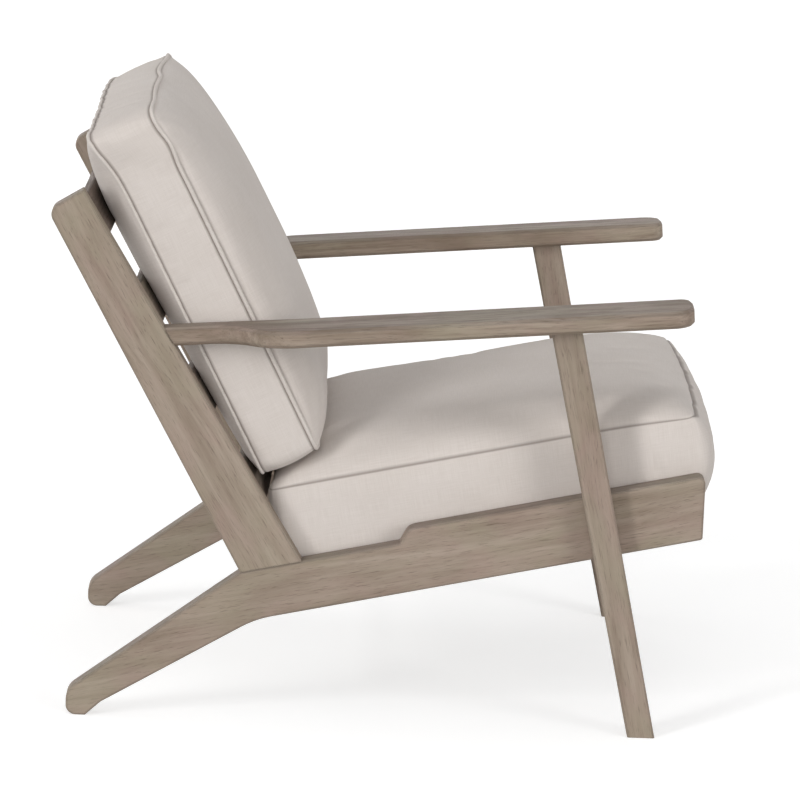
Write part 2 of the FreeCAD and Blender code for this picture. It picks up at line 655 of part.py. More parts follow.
def make_armrest(side):
    """Flat armrest that narrows to the post in a double curve and slopes a little outwards."""
    body = new_body("armrest_" + side_name(side), "0", ARM)
    sign = "-1" if side > 0 else "1"
    back = f"(-{at.arm_thickness} * tan({at.post_lean} - {at.arm_slope}))"
    inner = HALF_WIDTH
    neck = OUTSIDE
    wide_in = f"({HALF_WIDTH} + {at.arm_shift})"
    wide_out = f"({wide_in} + {at.arm_width})"
    full = f"({at.arm_neck} + {at.arm_flare})"
    spread = f"({wide_out} - {neck})"
    radius = f"(({at.arm_flare} ^ 2 + {spread} ^ 2) / (4 * {spread}))"
    outline = [
        (f"{sign} * {inner}", back), (f"{sign} * {wide_in}", full),
        (f"{sign} * {wide_in}", at.arm_length), (f"{sign} * {wide_out}", at.arm_length),
        (f"{sign} * {wide_out}", full),
        (f"{sign} * ({wide_out} - {spread} / 2)", f"({at.arm_neck} + {at.arm_flare} / 2)"),
        (f"{sign} * {neck}", at.arm_neck), (f"{sign} * {neck}", back),
    ]
    turn = side
    arcs = {4: (radius, turn), 5: (radius, -turn)}
    pad(body, "Board", draw(new_sketch(body, "Outline", "XY"), outline, arcs), at.arm_thickness)

    # The rear end is cut to the lean of the post, and the top falls towards the outer edge.
    far = f"({wide_out} + {at.arm_width})"
    cut = new_sketch(body, "RearCut", "YZ", far)
    draw(cut, [("0", "0"), (back, at.arm_thickness), (f"(2 * {back})", at.arm_thickness),
               (f"(2 * {back})", "0")])
    pocket(body, "Rear", cut, f"2 * {far}")
    slope = new_sketch(body, "TopCut", "XZ", at.arm_length)
    draw(slope, [
        (f"{sign} * {inner}", at.arm_thickness),
        (f"{sign} * {wide_out}", f"({at.arm_thickness} - {at.arm_fall})"),
        (f"{sign} * {wide_out}", f"(2 * {at.arm_thickness})"),
        (f"{sign} * {inner}", f"(2 * {at.arm_thickness})")])
    pocket(body, "Top", slope, f"3 * {at.arm_length}")
    soften(body, "InnerNose", "Fillet", at.arm_inner_round,
           across_at(f"{sign} * {wide_in}", at.arm_length, "z"))
    soften(body, "OuterNose", "Fillet", at.arm_outer_round,
           across_at(f"{sign} * {wide_out}", at.arm_length, "z"))
    rear_limit = value(at.arm_thickness) / 4

    def upper_or_lower(edge):
        box = edge.BoundBox
        flat = box.ZMax < 0.01 or box.ZMin > value(at.arm_thickness) - value(at.arm_fall) - 0.01
        return flat and box.YMax > rear_limit
    soften(body, "Edges", "Chamfer", at.arm_edge, upper_or_lower)

    # Tenon into the post, mortise for the leg
    middle = f"{sign} * {BOARD_MIDDLE}"
    tenon(body, "Tenon", middle, at.arm_tenon_width, [
        (f"(-{at.arm_tenon_length} - {at.arm_tenon_thickness})", ARM_TENON_LOW),
        (at.hole_spare, ARM_TENON_LOW), (at.hole_spare, ARM_TENON_HIGH),
        (f"(-{at.arm_tenon_length} - {at.arm_tenon_thickness})", ARM_TENON_HIGH)])
    spare = at.fit_clearance
    half = f"({at.leg_tenon_width} / 2 + {spare})"
    mortise(body, "LegMortise", f"{sign} * ({OUTSIDE} + {at.leg_thickness} / 2)",
            at.leg_tenon_thickness, box_corners(
                LEG, ARM, f"(-{half})", f"({LEG_HEIGHT} - {half})", half,
                f"({LEG_HEIGHT} + {at.leg_tenon_length} + {at.hole_spare})"))
    return body


def make_back_slat(number):
    """Bent slat with a stub tenon at each end; the middle stands a little forward."""
    place = point(POST, "0", slat_base(number))
    body = new_body(f"back_slat_{number + 1}", "0", place + (at.post_lean,))
    half = f"({HALF_WIDTH} - {at.fit_clearance})"
    front = f"(-{at.slat_recess})"
    rear = f"(-{at.slat_recess} - {at.slat_thickness})"
    radius = f"(({half} ^ 2 + {at.slat_bow} ^ 2) / (2 * {at.slat_bow}))"
    outline = [(f"(-{half})", rear), (half, rear), (half, front), (f"(-{half})", front)]
    sketch = draw(new_sketch(body, "Bend", "XY"), outline, {0: (radius, -1), 2: (radius, 1)})
    pad(body, "Slat", sketch, at.slat_height)

    def long_edge(edge):
        return edge.BoundBox.XLength > value(half)
    soften(body, "Edges", "Chamfer", at.edge_break, long_edge)
    shoulder = f"(({at.slat_height} - {at.tenon_height}) / 2)"
    tenons = new_sketch(body, "TenonSketch", "XY", shoulder)
    low = f"(-{SLAT_MIDDLE} - {at.tenon_thickness} / 2)"
    high = f"(-{SLAT_MIDDLE} + {at.tenon_thickness} / 2)"
    root = f"({half} - {at.tenon_length})"
    tip = f"({half} + {at.tenon_length})"
    rectangle(tenons, root, low, tip, high)
    rectangle(tenons, f"(-{tip})", low, f"(-{root})", high)
    pad(body, "Tenons", tenons, at.tenon_height)
    return body


def make_cross_rail(label, rail):
    """Straight rail between the two side rails, with a tenon into each."""
    start, base, height, _ = rail
    body = new_body(label, HALF_WIDTH, SEAT)
    sketch = rectangle(new_sketch(body, "Section", "YZ"), start, base,
                       f"({start} + {at.cross_rail_thickness})", f"({base} + {height})")
    pad(body, "Board", sketch, at.inner_width)

    def long_edge(edge):
        return edge.BoundBox.XLength > value(HALF_WIDTH)
    soften(body, "Edges", "Chamfer", at.edge_break, long_edge)
    through = rectangle(new_sketch(body, "TenonSketch", "YZ", f"-{at.rail_tenon_length}"),
                        *rail_tenon_sides(rail))
    pad(body, "Tenons", through, f"{at.inner_width} + 2 * {at.rail_tenon_length}")
    return body


def make_cleat(side):
    """Strip that carries the ends of the seat slats."""
    thickness = at.cleat_thickness
    body = new_body(
        "seat_cleat_" + side_name(side), inward_start(side, HALF_WIDTH, thickness), SEAT)
    sketch = rectangle(
        new_sketch(body, "Section", "YZ"), at.cleat_start, CLEAT_BASE,
        f"({at.cleat_start} + {at.cleat_length})", f"({CLEAT_BASE} + {at.cleat_height})")
    pad(body, "Strip", sketch, thickness)
    return body


def deck_slat_start(number):
    return f"({at.deck_slat_first} + {number} * {at.deck_slat_pitch})"


def make_deck_slat(number):
    """Seat slat, resting on both cleats."""
    half = f"({HALF_WIDTH} - {at.deck_side_gap})"
    body = new_body(f"seat_slat_{number + 1}", half, SEAT)
    start = deck_slat_start(number)
    base = f"({at.deck_height} - {at.deck_slat_thickness})"
    sketch = rectangle(new_sketch(body, "Section", "YZ"), start, base,
                       f"({start} + {at.deck_slat_width})", at.deck_height)
    pad(body, "Slat", sketch, f"2 * {half}")

    def upper_long_edge(edge):
        box = edge.BoundBox
        return box.XLength > value(half) and box.ZMin > value(at.deck_height) - 0.01
    soften(body, "Edges", "Chamfer", at.deck_slat_break, upper_long_edge)
    return body


for side in (1, -1):
    sub_parts.append(make_side_rail(side))
    sub_parts.append(make_back_post(side))
    sub_parts.append(make_front_leg(side))
    sub_parts.append(make_armrest(side))
    sub_parts.append(make_cleat(side))
for number in BACK_SLATS:
    sub_parts.append(make_back_slat(number))
sub_parts.append(make_cross_rail("front_cross_rail", FRONT_RAIL))
sub_parts.append(make_cross_rail("rear_cross_rail", REAR_RAIL))
for number in DECK_SLATS:
    sub_parts.append(make_deck_slat(number))


# Leg bolts with their washers and threaded sleeves

SEAT_FACE = f"({HALF_WIDTH} + {at.counterbore_depth})"
UNDER_HEAD = f"({SEAT_FACE} - {at.washer_thickness})"
BOLT_HOLE = f"({at.bolt_diameter} + 2 * {at.fit_clearance})"

bolts = []
washers = []
sleeves = []
for side in (1, -1):
    for number, place in enumerate(LEG_BOLT_PLACES):
        tag = f"{side_name(side)}_{number}"
        head_face = f"({side} * ({UNDER_HEAD} - {at.bolt_head_height}))"
        shank = side_cylinder(f"bolt_shank_{tag}", f"({side} * {UNDER_HEAD})", place, side,
                              at.bolt_diameter, at.bolt_length)
        head = side_cylinder(f"bolt_head_{tag}", head_face, place, side, at.bolt_head_diameter,
                             at.bolt_head_height)
        socket = document.addObject("Part::Prism", f"bolt_socket_{tag}")
        socket.Polygon = 6
        socket.setExpression("Circumradius", f"{at.bolt_socket} / sqrt(3)")
        socket.setExpression("Height", at.bolt_socket_depth)
        socket.setExpression("Placement", placed_across(head_face, place, side))
        solid = join(f"bolt_blank_{tag}", "MultiFuse", [shank, head])
        bolts.append(join(f"bolt_{tag}", "Cut", [solid, socket]))
        disc = side_cylinder(f"washer_disc_{tag}", f"({side} * {UNDER_HEAD})", place, side,
                             at.washer_diameter, at.washer_thickness)
        hole = side_cylinder(f"washer_hole_{tag}", f"({side} * {UNDER_HEAD})", place, side,
                             BOLT_HOLE, at.washer_thickness)
        washers.append(join(f"washer_{tag}", "Cut", [disc, hole]))
        tube = side_cylinder(f"sleeve_tube_{tag}", f"({side} * {OUTSIDE})", place, side,
                             at.insert_diameter, at.insert_length)
        thread = side_cylinder(f"sleeve_hole_{tag}", f"({side} * {OUTSIDE})", place, side,
                               BOLT_HOLE, at.insert_length)
        sleeves.append(join(f"sleeve_{tag}", "Cut", [tube, thread]))
sub_parts.append(group("leg_bolts", bolts))
sub_parts.append(group("leg_washers", washers))
sub_parts.append(group("leg_threaded_sleeves", sleeves))


# Cushions. Each is a loft across the chair, through outlines drawn in its own frame as
# (depth, thickness). An outline has a boxing at either end and a crown above and below.

# Outlines from a side seam inwards: share of the way to the full rise of the crown
BANDS = [0, 0.05, 0.15, 0.31, 0.56, 1]
LEAST_RISE = 0.6


def shoulder_rise(rise, run, distance):
    """Height of a round shoulder that is level after its run, at a distance in from its seam."""
    radius = (run ** 2 + rise ** 2) / (2 * rise)
    left = max(run - distance, 0)
    return rise - radius + math.sqrt(radius ** 2 - left ** 2)


class Crown:
    """One crowned face: where its seam lies, then how far it rises and how soon.

    low and high are (rise, run) at its two ends, and side_run is the run from its side seams.
    """

    def __init__(self, seam, side_run, low, high):
        self.seam = seam
        self.side_run = side_run
        self.low_rise, self.low_run = low
        self.high_rise, self.high_run = high

    def share(self, inwards):
        """Part of the full rise that is reached at a distance in from a side seam."""
        full = abs(self.high_rise)
        return shoulder_rise(full, self.side_run, inwards) / full


def crown_points(crown, inwards, low, high):
    """Corners of a crown in an outline, with a point on each rounded shoulder between them."""
    low_rise, high_rise = [
        math.copysign(max(abs(rise) * crown.share(inwards), LEAST_RISE), rise)
        for rise in (crown.low_rise, crown.high_rise)]
    points = [(low, crown.seam), (low + crown.low_run, crown.seam + low_rise),
              (high - crown.high_run, crown.seam + high_rise), (high, crown.seam)]
    middles = {}
    for number, start, run, rise in (
            (0, low, crown.low_run, low_rise), (2, high - crown.high_run, crown.high_run, high_rise)):
        height = shoulder_rise(abs(rise), run, run / 2)
        middles[number] = (start + run / 2, crown.seam + math.copysign(height, rise))
    return points, middles


def cushion_outline(across, inwards, low, high, lean, under, over, swells):
    """Outline at one place across: under and over are crowns, or a level where under is flat."""
    def flat(face):
        return not isinstance(face, Crown)
    corners = []
    middles = {}
    if flat(under):
        corners += [(low, under), (high - lean, under)]
    else:
        points, bends = crown_points(under, inwards, low, high)
        corners += points
        middles.update(bends)
    below = corners[-1][1]
    first_side = len(corners) - 1
    points, bends = crown_points(over, inwards, low, high)
    count = len(corners)
    for number, spot in bends.items():
        middles[count + 2 - number] = spot
    corners += points[::-1]
    level = (below + over.seam) / 2
    middles[first_side] = (high - lean / 2 + swells[1], level)
    middles[len(corners) - 1] = (low - swells[0], level)
    edges = []
    for number, (y, z) in enumerate(corners):
        start = FreeCAD.Vector(across, y, z)
        end = FreeCAD.Vector(across, *corners[(number + 1) % len(corners)])
        if number in middles:
            bend = FreeCAD.Vector(across, *middles[number])
            edges.append(Part.Arc(start, bend, end).toShape())
        else:
            edges.append(Part.makeLine(start, end))
    return Part.Wire(edges)


def cushion_outside(low, high, high_bow, lean, under, over, swells):
    """Full form of a cushion; high_bow is how far the upper end stands out in the middle."""
    half_width = value(CUSHION_HALF_WIDTH)
    run = value(at.crown_run)
    inset = value(at.end_inset)
    belly = value(at.belly)
    outlines = []
    for side in (-1, 1):
        bands = [cushion_outline(
            side * (half_width + belly), 0, low + inset, high - inset, lean,
            narrowed(under, inset), narrowed(over, inset), swells)]
        for band in BANDS:
            inwards = band * run
            across = side * (half_width - inwards)
            bow = high_bow * (1 - (across / half_width) ** 2)
            bands.append(cushion_outline(
                across, inwards, low, high + bow, lean, under, over, swells))
        outlines += bands if side < 0 else bands[::-1]
    return Part.makeLoft(outlines, True, True)


def narrowed(face, inset):
    """A crown for the smaller flat outline at the end of a cushion."""
    if not isinstance(face, Crown):
        return face + inset
    seam = face.seam - math.copysign(inset, face.high_rise)
    return Crown(seam, face.side_run, (face.low_rise, face.low_run), (face.high_rise, face.high_run))


def cushion_foam(low, high, lean, under, over, inset):
    """Foam block between the seams, inside the full form by at least the inset."""
    half_width = value(CUSHION_HALF_WIDTH) - inset
    base = (under.seam if isinstance(under, Crown) else under) + inset
    top = over.seam - inset
    corners = [(low + inset, base), (high - lean - inset, base), (high - lean - inset, top),
               (low + inset, top), (low + inset, base)]
    face = Part.Face(Part.makePolygon([FreeCAD.Vector(-half_width, y, z) for y, z in corners]))
    return face.extrude(FreeCAD.Vector(2 * half_width, 0, 0))


def add_feature(label, shape, frame, angle):
    """A sub-part built in code: its shape first, then its place."""
    feature = document.addObject("Part::Feature", label)
    feature.Label = label
    feature.Shape = shape
    feature.setExpression("Placement", placed("0", frame[:2], angle))
    sub_parts.append(feature)


def add_cushion(label, frame, angle, low, high, high_bow, lean, under, over, swells):
    """A padded cover and, inside it, the foam block."""
    wadding = value(at.wadding)
    gap = value(at.core_clearance)
    outside = cushion_outside(low, high, high_bow, lean, under, over, swells)
    cover = outside.cut(cushion_foam(low, high, lean, under, over, wadding))
    foam = cushion_foam(low, high, lean, under, over, wadding + gap)
    add_feature(label + "_cover", cover, frame, angle)
    add_feature(label + "_core", foam, frame, angle)


seat_base = value(at.deck_height) + value(at.soft_clearance)
crown_run = value(at.crown_run)
seat_crown = value(at.seat_crown)
back_crown = value(at.back_crown)
add_cushion(
    "seat_cushion", SEAT, at.seat_tilt,
    value(at.seat_rear), value(at.seat_rear) + value(at.seat_depth), value(at.seat_front_bow),
    value(at.seat_front_lean), seat_base,
    Crown(seat_base + value(at.seat_boxing), crown_run, (seat_crown, value(at.seat_rear_run)),
          (seat_crown, value(at.seat_front_run))),
    (value(at.belly), value(at.seat_front_swell)))

# The back cushion is drawn lying on its front, so it is tipped a quarter turn past its lean.
add_cushion(
    "back_cushion", CUSHION, f"({at.back_lean} + 90)",
    0, value(at.back_height), value(at.back_top_bow), 0,
    Crown(-value(at.back_boxing), crown_run, (-back_crown, value(at.back_low_run)),
          (-back_crown, value(at.back_high_run))),
    Crown(0, value(at.back_rear_side_run),
          (value(at.back_rear_low_crown), value(at.back_rear_low_run)),
          (value(at.back_rear_high_crown), value(at.back_rear_high_run))),
    (value(at.belly), value(at.belly)))


# Check every object, then write each sub-part to its own file.
document.recompute()
for item in document.Objects:
    if "Invalid" in item.State or "Error" in item.State:
        raise RuntimeError(f"{item.Label} is {item.State}")
for item in sub_parts:
    if item.Shape.isNull() or not item.Shape.isValid():
        raise RuntimeError(f"{item.Label} has no valid shape")
    item.Shape.exportStep(f"parts/{item.Label}.step")
    print(item.Label, len(item.Shape.Solids), "solid(s)", round(item.Shape.Volume / 1000, 1), "cm3")
whole = Part.makeCompound([item.Shape for item in sub_parts])
print("box", whole.BoundBox)
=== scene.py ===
import math

import bmesh
import bpy
import numpy as np
from mathutils import Matrix, Vector


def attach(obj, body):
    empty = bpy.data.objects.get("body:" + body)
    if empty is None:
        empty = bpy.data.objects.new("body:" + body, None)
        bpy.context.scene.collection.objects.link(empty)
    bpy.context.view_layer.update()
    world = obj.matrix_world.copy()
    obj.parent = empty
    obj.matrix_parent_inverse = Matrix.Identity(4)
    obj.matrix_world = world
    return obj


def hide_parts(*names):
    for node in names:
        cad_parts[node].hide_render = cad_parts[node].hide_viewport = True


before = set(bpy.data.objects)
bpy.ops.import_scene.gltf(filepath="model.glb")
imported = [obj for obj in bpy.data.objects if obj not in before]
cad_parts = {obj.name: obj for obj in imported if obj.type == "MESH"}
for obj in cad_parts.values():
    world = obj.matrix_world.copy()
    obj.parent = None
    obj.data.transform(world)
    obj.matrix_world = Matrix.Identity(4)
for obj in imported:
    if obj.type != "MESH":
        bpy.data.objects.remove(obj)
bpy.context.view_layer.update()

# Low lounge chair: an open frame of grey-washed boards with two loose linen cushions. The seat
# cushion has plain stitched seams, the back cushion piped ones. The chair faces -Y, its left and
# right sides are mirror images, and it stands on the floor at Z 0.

MM = 0.001

# Driving sizes, as in the construction: forward is measured from the heel, height from the floor
HEEL_TO_MIDDLE = 429.5 * MM
HALF_BETWEEN_RAILS = 264 * MM
CUSHION_HALF_WIDTH = HALF_BETWEEN_RAILS - 6 * MM
SEAT_TILT = 12.3
POST_LEAN = 31.4
ARM_SLOPE = 4.9
LEG_LEAN = 12.6
BACK_LEAN = 27.0

# Frames of the side figure: forward, height and how far the frame's forward axis points up
SEAT = (259.5 * MM, 145 * MM, SEAT_TILT)
BACK = (263.5 * MM, 342.7 * MM, BACK_LEAN + 90)


def in_chair(side_frame, spots):
    """Places of the whole chair from (across, along, square) places of a side frame."""
    forward, height, angle = side_frame
    turn = math.radians(angle)
    spots = np.asarray(spots, float)
    across, along, square = spots[..., 0], spots[..., 1], spots[..., 2]
    ahead = forward + along * math.cos(turn) - square * math.sin(turn)
    up = height + along * math.sin(turn) + square * math.cos(turn)
    return np.stack([across, HEEL_TO_MIDDLE - ahead, up], -1)


# Shader node helpers

def node(tree, kind, inputs=None, **settings):
    """A shader node; an input is a number, a colour or another node's socket."""
    made = tree.nodes.new("ShaderNode" + kind)
    for name, setting in settings.items():
        setattr(made, name, setting)
    for name, given in (inputs or {}).items():
        if isinstance(given, bpy.types.NodeSocket):
            tree.links.new(given, made.inputs[name])
        else:
            made.inputs[name].default_value = given
    return made


def maths(tree, operation, *values, clamp=False):
    """The result of a calculation with numbers or sockets."""
    inputs = dict(enumerate(values))
    return node(tree, "Math", inputs, operation=operation, use_clamp=clamp).outputs[0]


def mixed(tree, share, first, second, way="MIX"):
    """Two colours mixed by a share."""
    made = node(tree, "Mix", {0: share, 6: first, 7: second}, data_type="RGBA", blend_type=way)
    return made.outputs[2]


def weighted(tree, *terms):
    """The sum of some values, each times its weight."""
    total = 0.0
    for value, weight in terms:
        total = maths(tree, "MULTIPLY_ADD", value, weight, total)
    return total


def ramp(tree, share, *stops):
    """A value through a colour ramp; stops are (place, grey level)."""
    made = node(tree, "ValToRGB", {0: share})
    elements = made.color_ramp.elements
    while len(elements) < len(stops):
        elements.new(0.5)
    for element, (place, level) in zip(elements, stops):
        element.position = place
        element.color = (level, level, level, 1)
    return made.outputs[0]


def noise(tree, place, scale, detail=3.0, roughness=0.5, distortion=0.0):
    """Smooth noise between 0 and 1."""
    return node(tree, "TexNoise", {
        "Vector": place, "Scale": scale, "Detail": detail, "Roughness": roughness,
        "Distortion": distortion}).outputs["Fac"]


def stretched(tree, place, *scales):
    """A place scaled by its own amount along each axis."""
    return node(tree, "VectorMath", {0: place, 1: scales}, operation="MULTIPLY").outputs[0]


def grained(tree, place, across, along, *settings):
    """Noise drawn out along the grain: features per metre across it and along it."""
    return noise(tree, stretched(tree, place, across, along, across), 1.0, *settings)


def bump(tree, height, strength, distance):
    """A normal roughened by a height."""
    return node(tree, "Bump", {
        "Height": height, "Strength": strength, "Distance": distance}).outputs[0]


def group(name, inputs, outputs):
    """An empty node group, its input sockets and its output node; sockets are given as name: kind."""
    tree = bpy.data.node_groups.new(name, "ShaderNodeTree")
    for way, sockets in (("INPUT", inputs), ("OUTPUT", outputs)):
        for socket, kind in sockets.items():
            tree.interface.new_socket(socket, in_out=way, socket_type="NodeSocket" + kind)
    return tree, tree.nodes.new("NodeGroupInput").outputs, tree.nodes.new("NodeGroupOutput")


def use(tree, made_group, inputs):
    """The outputs of a node group that is placed in a tree."""
    return node(tree, "Group", inputs, node_tree=made_group).outputs


# Effects shared by the materials

def washed_grain():
    """Weathered board with a grey wash: the grain runs along the Y of its place, in metres."""
    tree, given, out = group("Washed grain", {
        "Place": "Vector", "Pale": "Color", "Deep": "Color", "Rosy": "Color", "Olive": "Color",
        "Contrast": "Float", "Streaks": "Float",
    }, {"Color": "Color", "Roughness": "Float", "Height": "Float"})
    place = given["Place"]
    bend = grained(tree, place, 9, 2.2, 2.0)
    sway = maths(tree, "MULTIPLY", maths(tree, "SUBTRACT", bend, 0.5), 0.05)
    shift = node(tree, "CombineXYZ", {"X": sway, "Z": sway}).outputs[0]
    swayed = node(tree, "VectorMath", {0: place, 1: shift}, operation="ADD").outputs[0]
    figure = grained(tree, swayed, 55, 3.0, 4.0, 0.62)
    streaks = grained(tree, swayed, 260, 9, 3.0, 0.6)
    pores = grained(tree, swayed, 900, 38, 2.0, 0.6)
    patches = grained(tree, place, 20, 11, 3.0, 0.55)
    tint = grained(tree, place, 24, 13, 2.0, 0.5, 0.6)
    cast = grained(tree, place, 15, 9, 2.0, 0.5, 0.4)
    figure_mask = ramp(tree, figure, (0.36, 0), (0.62, 1))
    streak_mask = ramp(tree, streaks, (0.42, 0), (0.68, 1))
    pore_mask = ramp(tree, pores, (0.58, 0), (0.72, 1))
    figured = mixed(tree, maths(tree, "MULTIPLY", figure_mask, given["Contrast"], clamp=True),
                    given["Pale"], given["Deep"])
    blotched = mixed(tree, ramp(tree, tint, (0.45, 0), (0.7, 0.5)), figured, given["Rosy"])
    greened = mixed(tree, ramp(tree, cast, (0.48, 0), (0.68, 0.45)), blotched, given["Olive"])
    cloudy = mixed(tree, ramp(tree, patches, (0.3, 0.35), (0.62, 0)), greened, given["Pale"])
    streaked = mixed(tree, maths(tree, "MULTIPLY", streak_mask, given["Streaks"]), cloudy,
                     given["Deep"])
    pored = mixed(tree, maths(tree, "MULTIPLY", pore_mask, 0.45), streaked, given["Deep"], "MULTIPLY")
    tree.links.new(pored, out.inputs["Color"])
    roughness = maths(tree, "MULTIPLY_ADD", streak_mask, 0.16, 0.62)
    tree.links.new(roughness, out.inputs["Roughness"])
    height = weighted(tree, (figure, 0.4), (streak_mask, -0.35), (pore_mask, -0.7))
    tree.links.new(height, out.inputs["Height"])
    return tree


def darker_edge():
    """Mask that is 1 along sharp edges and fades within the given width."""
    tree, given, out = group("Darker edge", {"Width": "Float"}, {"Mask": "Float"})
    rounded = node(tree, "Bevel", {"Radius": given["Width"]}, samples=4).outputs[0]
    flat = node(tree, "NewGeometry").outputs["True Normal"]
    likeness = node(tree, "VectorMath", {0: rounded, 1: flat}, operation="DOT_PRODUCT").outputs["Value"]
    turned = maths(tree, "SUBTRACT", 1.0, likeness)
    tree.links.new(maths(tree, "MULTIPLY", turned, 9.0, clamp=True), out.inputs["Mask"])
    return tree


def linen_weave():
    """Plain weave with slubs on a flat place in metres: threads run along its X and Y."""
    tree, given, out = group("Linen weave", {"Place": "Vector", "Pitch": "Float"}, {
        "Slubs": "Float", "Threads": "Float", "Height": "Float"})
    place = given["Place"]
    parts = node(tree, "SeparateXYZ", {0: place}).outputs
    turns = maths(tree, "DIVIDE", math.pi, given["Pitch"])
    jitter = maths(tree, "MULTIPLY", noise(tree, place, 160.0, 2.0), 1.6)
    warp, weft = [maths(tree, "SINE", maths(tree, "MULTIPLY_ADD", part, turns, jitter))
                  for part in parts[:2]]
    crossing = maths(tree, "MULTIPLY", warp, weft)
    lattice = maths(tree, "MAXIMUM", maths(tree, "ABSOLUTE", warp), maths(tree, "ABSOLUTE", weft))
    threads = weighted(tree, (lattice, 0.6), (crossing, 0.4))
    across = noise(tree, stretched(tree, place, 30, 900, 1), 1.0, 2.0, 0.6)
    along = noise(tree, stretched(tree, place, 900, 30, 1), 1.0, 2.0, 0.6)
    slubs = weighted(tree, (across, 0.5), (along, 0.5))
    tree.links.new(slubs, out.inputs["Slubs"])
    tree.links.new(threads, out.inputs["Threads"])
    tree.links.new(weighted(tree, (slubs, 1.2), (threads, 0.5)), out.inputs["Height"])
    return tree


WASHED_GRAIN = washed_grain()
DARKER_EDGE = darker_edge()
LINEN_WEAVE = linen_weave()


# Linear colours
PALE_WASH = (0.350, 0.287, 0.230, 1)
DEEP_GRAIN = (0.20, 0.15, 0.11, 1)
ROSY_TINT = (0.33, 0.235, 0.20, 1)
OLIVE_TINT = (0.30, 0.27, 0.19, 1)
# Painted shade, multiplied into faces that look up
TOP_PAINTED_SHADE = (0.60, 0.62, 0.68, 1)
# Colour that sharp edges are darkened towards, in patches
EDGE_TONE = (0.14, 0.115, 0.09, 1)
# Painted shade: the back slats' wood is coloured much darker, for the shade they stand in
SLAT_SHADED_PALE = (0.205, 0.155, 0.125, 1)
SLAT_SHADED_DEEP = (0.075, 0.055, 0.042, 1)
LINEN_LIGHT = (0.66, 0.608, 0.572, 1)
LINEN_DARK = (0.50, 0.445, 0.40, 1)
# Painted shade for the seams
PAINTED_SEAM_SHADE = (0.21, 0.175, 0.155, 1)
ZINC_GREY = (0.62, 0.62, 0.64, 1)
BRASS_YELLOW = (0.72, 0.55, 0.28, 1)
WHITE = (1, 1, 1, 1)

# Wood: how much painted shade darkens and greys faces that look up, and how wide the darker band along an
# edge is
TOP_SHADE_SHARE = 0.6
DARKER_EDGE_WIDTH = 3.5 * MM

# Linen: distance between threads, and how much slubs, clouds and gaps between threads darken it
THREAD_PITCH = 1.1 * MM
SLUB_SHARE = 0.3
CLOUD_SHARE = 0.15
GAP_SHARE = 0.18


def material(name, inputs):
    """A new material: its node tree and its Principled shader, with the inputs that are constant."""
    made = bpy.data.materials.new(name)
    made.use_nodes = True
    tree = made.node_tree
    tree.nodes.clear()
    shader = node(tree, "BsdfPrincipled", inputs)
    output = node(tree, "OutputMaterial", {"Surface": shader.outputs[0]})
    output.is_active_output = True
    return made, tree, shader


def washed_wood(name, turn, shift, pale=PALE_WASH, deep=DEEP_GRAIN, rosy=ROSY_TINT, contrast=0.75,
                streaks=0.2):
    """Grey-washed board whose grain runs along a direction given as turns about X, Y and Z.

    Faces that look up get painted shade: they are greyer and darker.
    """
    made, tree, shader = material(name, {"Specular IOR Level": 0.3})
    place = node(tree, "TexCoord").outputs["Object"]
    placed = node(tree, "Mapping", {
        "Vector": place, "Location": shift, "Rotation": [math.radians(a) for a in turn],
    }).outputs[0]
    grain = use(tree, WASHED_GRAIN, {
        "Place": placed, "Pale": pale, "Deep": deep, "Rosy": rosy, "Olive": OLIVE_TINT,
        "Contrast": contrast, "Streaks": streaks})
    upward = node(tree, "SeparateXYZ", {0: node(tree, "NewGeometry").outputs["True Normal"]}).outputs["Z"]
    # Painted shade: faces that look up are painted greyer and darker
    top_shade = ramp(tree, upward, (0.35, 0), (0.8, TOP_SHADE_SHARE))
    top_shaded = mixed(tree, top_shade, grain["Color"], TOP_PAINTED_SHADE, "MULTIPLY")
    # Sharp edges are painted darker, in patches
    edge = use(tree, DARKER_EDGE, {"Width": DARKER_EDGE_WIDTH})["Mask"]
    patchy = grained(tree, placed, 60, 25, 2.0)
    edge_darkening = maths(tree, "MULTIPLY", edge, ramp(tree, patchy, (0.35, 0.35), (0.65, 0.9)))
    tree.links.new(mixed(tree, edge_darkening, top_shaded, EDGE_TONE), shader.inputs["Base Color"])
    tree.links.new(grain["Roughness"], shader.inputs["Roughness"])
    tree.links.new(bump(tree, grain["Height"], 0.5, 0.6 * MM), shader.inputs["Normal"])
    return made


def linen(name):
    """Fawn linen, with painted shade where the mesh says that a seam is near."""
    made, tree, shader = material(name, {
        "Roughness": 0.95, "Specular IOR Level": 0.15, "Sheen Weight": 0.12, "Sheen Roughness": 0.6})
    place = node(tree, "UVMap", uv_map="weave").outputs[0]
    weave = use(tree, LINEN_WEAVE, {"Place": place, "Pitch": THREAD_PITCH})
    slub_mask = ramp(tree, weave["Slubs"], (0.38, 1), (0.62, 0))
    cloud_mask = ramp(tree, noise(tree, place, 7.0, 2.0), (0.35, 0), (0.65, 1))
    gaps = maths(tree, "SUBTRACT", 1.0, weave["Threads"])
    shade = weighted(tree, (slub_mask, SLUB_SHARE), (cloud_mask, CLOUD_SHARE), (gaps, GAP_SHARE))
    cloth = mixed(tree, shade, LINEN_LIGHT, LINEN_DARK)
    near = node(tree, "Attribute", attribute_name="seam_near").outputs["Fac"]
    # Painted shade along the seams, strongest in the seam itself
    seam_shade_share = ramp(tree, near, (0.3, 0), (0.9, 0.7))
    tree.links.new(mixed(tree, seam_shade_share, cloth, PAINTED_SEAM_SHADE), shader.inputs["Base Color"])
    tree.links.new(bump(tree, weave["Height"], 0.45, 0.5 * MM), shader.inputs["Normal"])
    return made


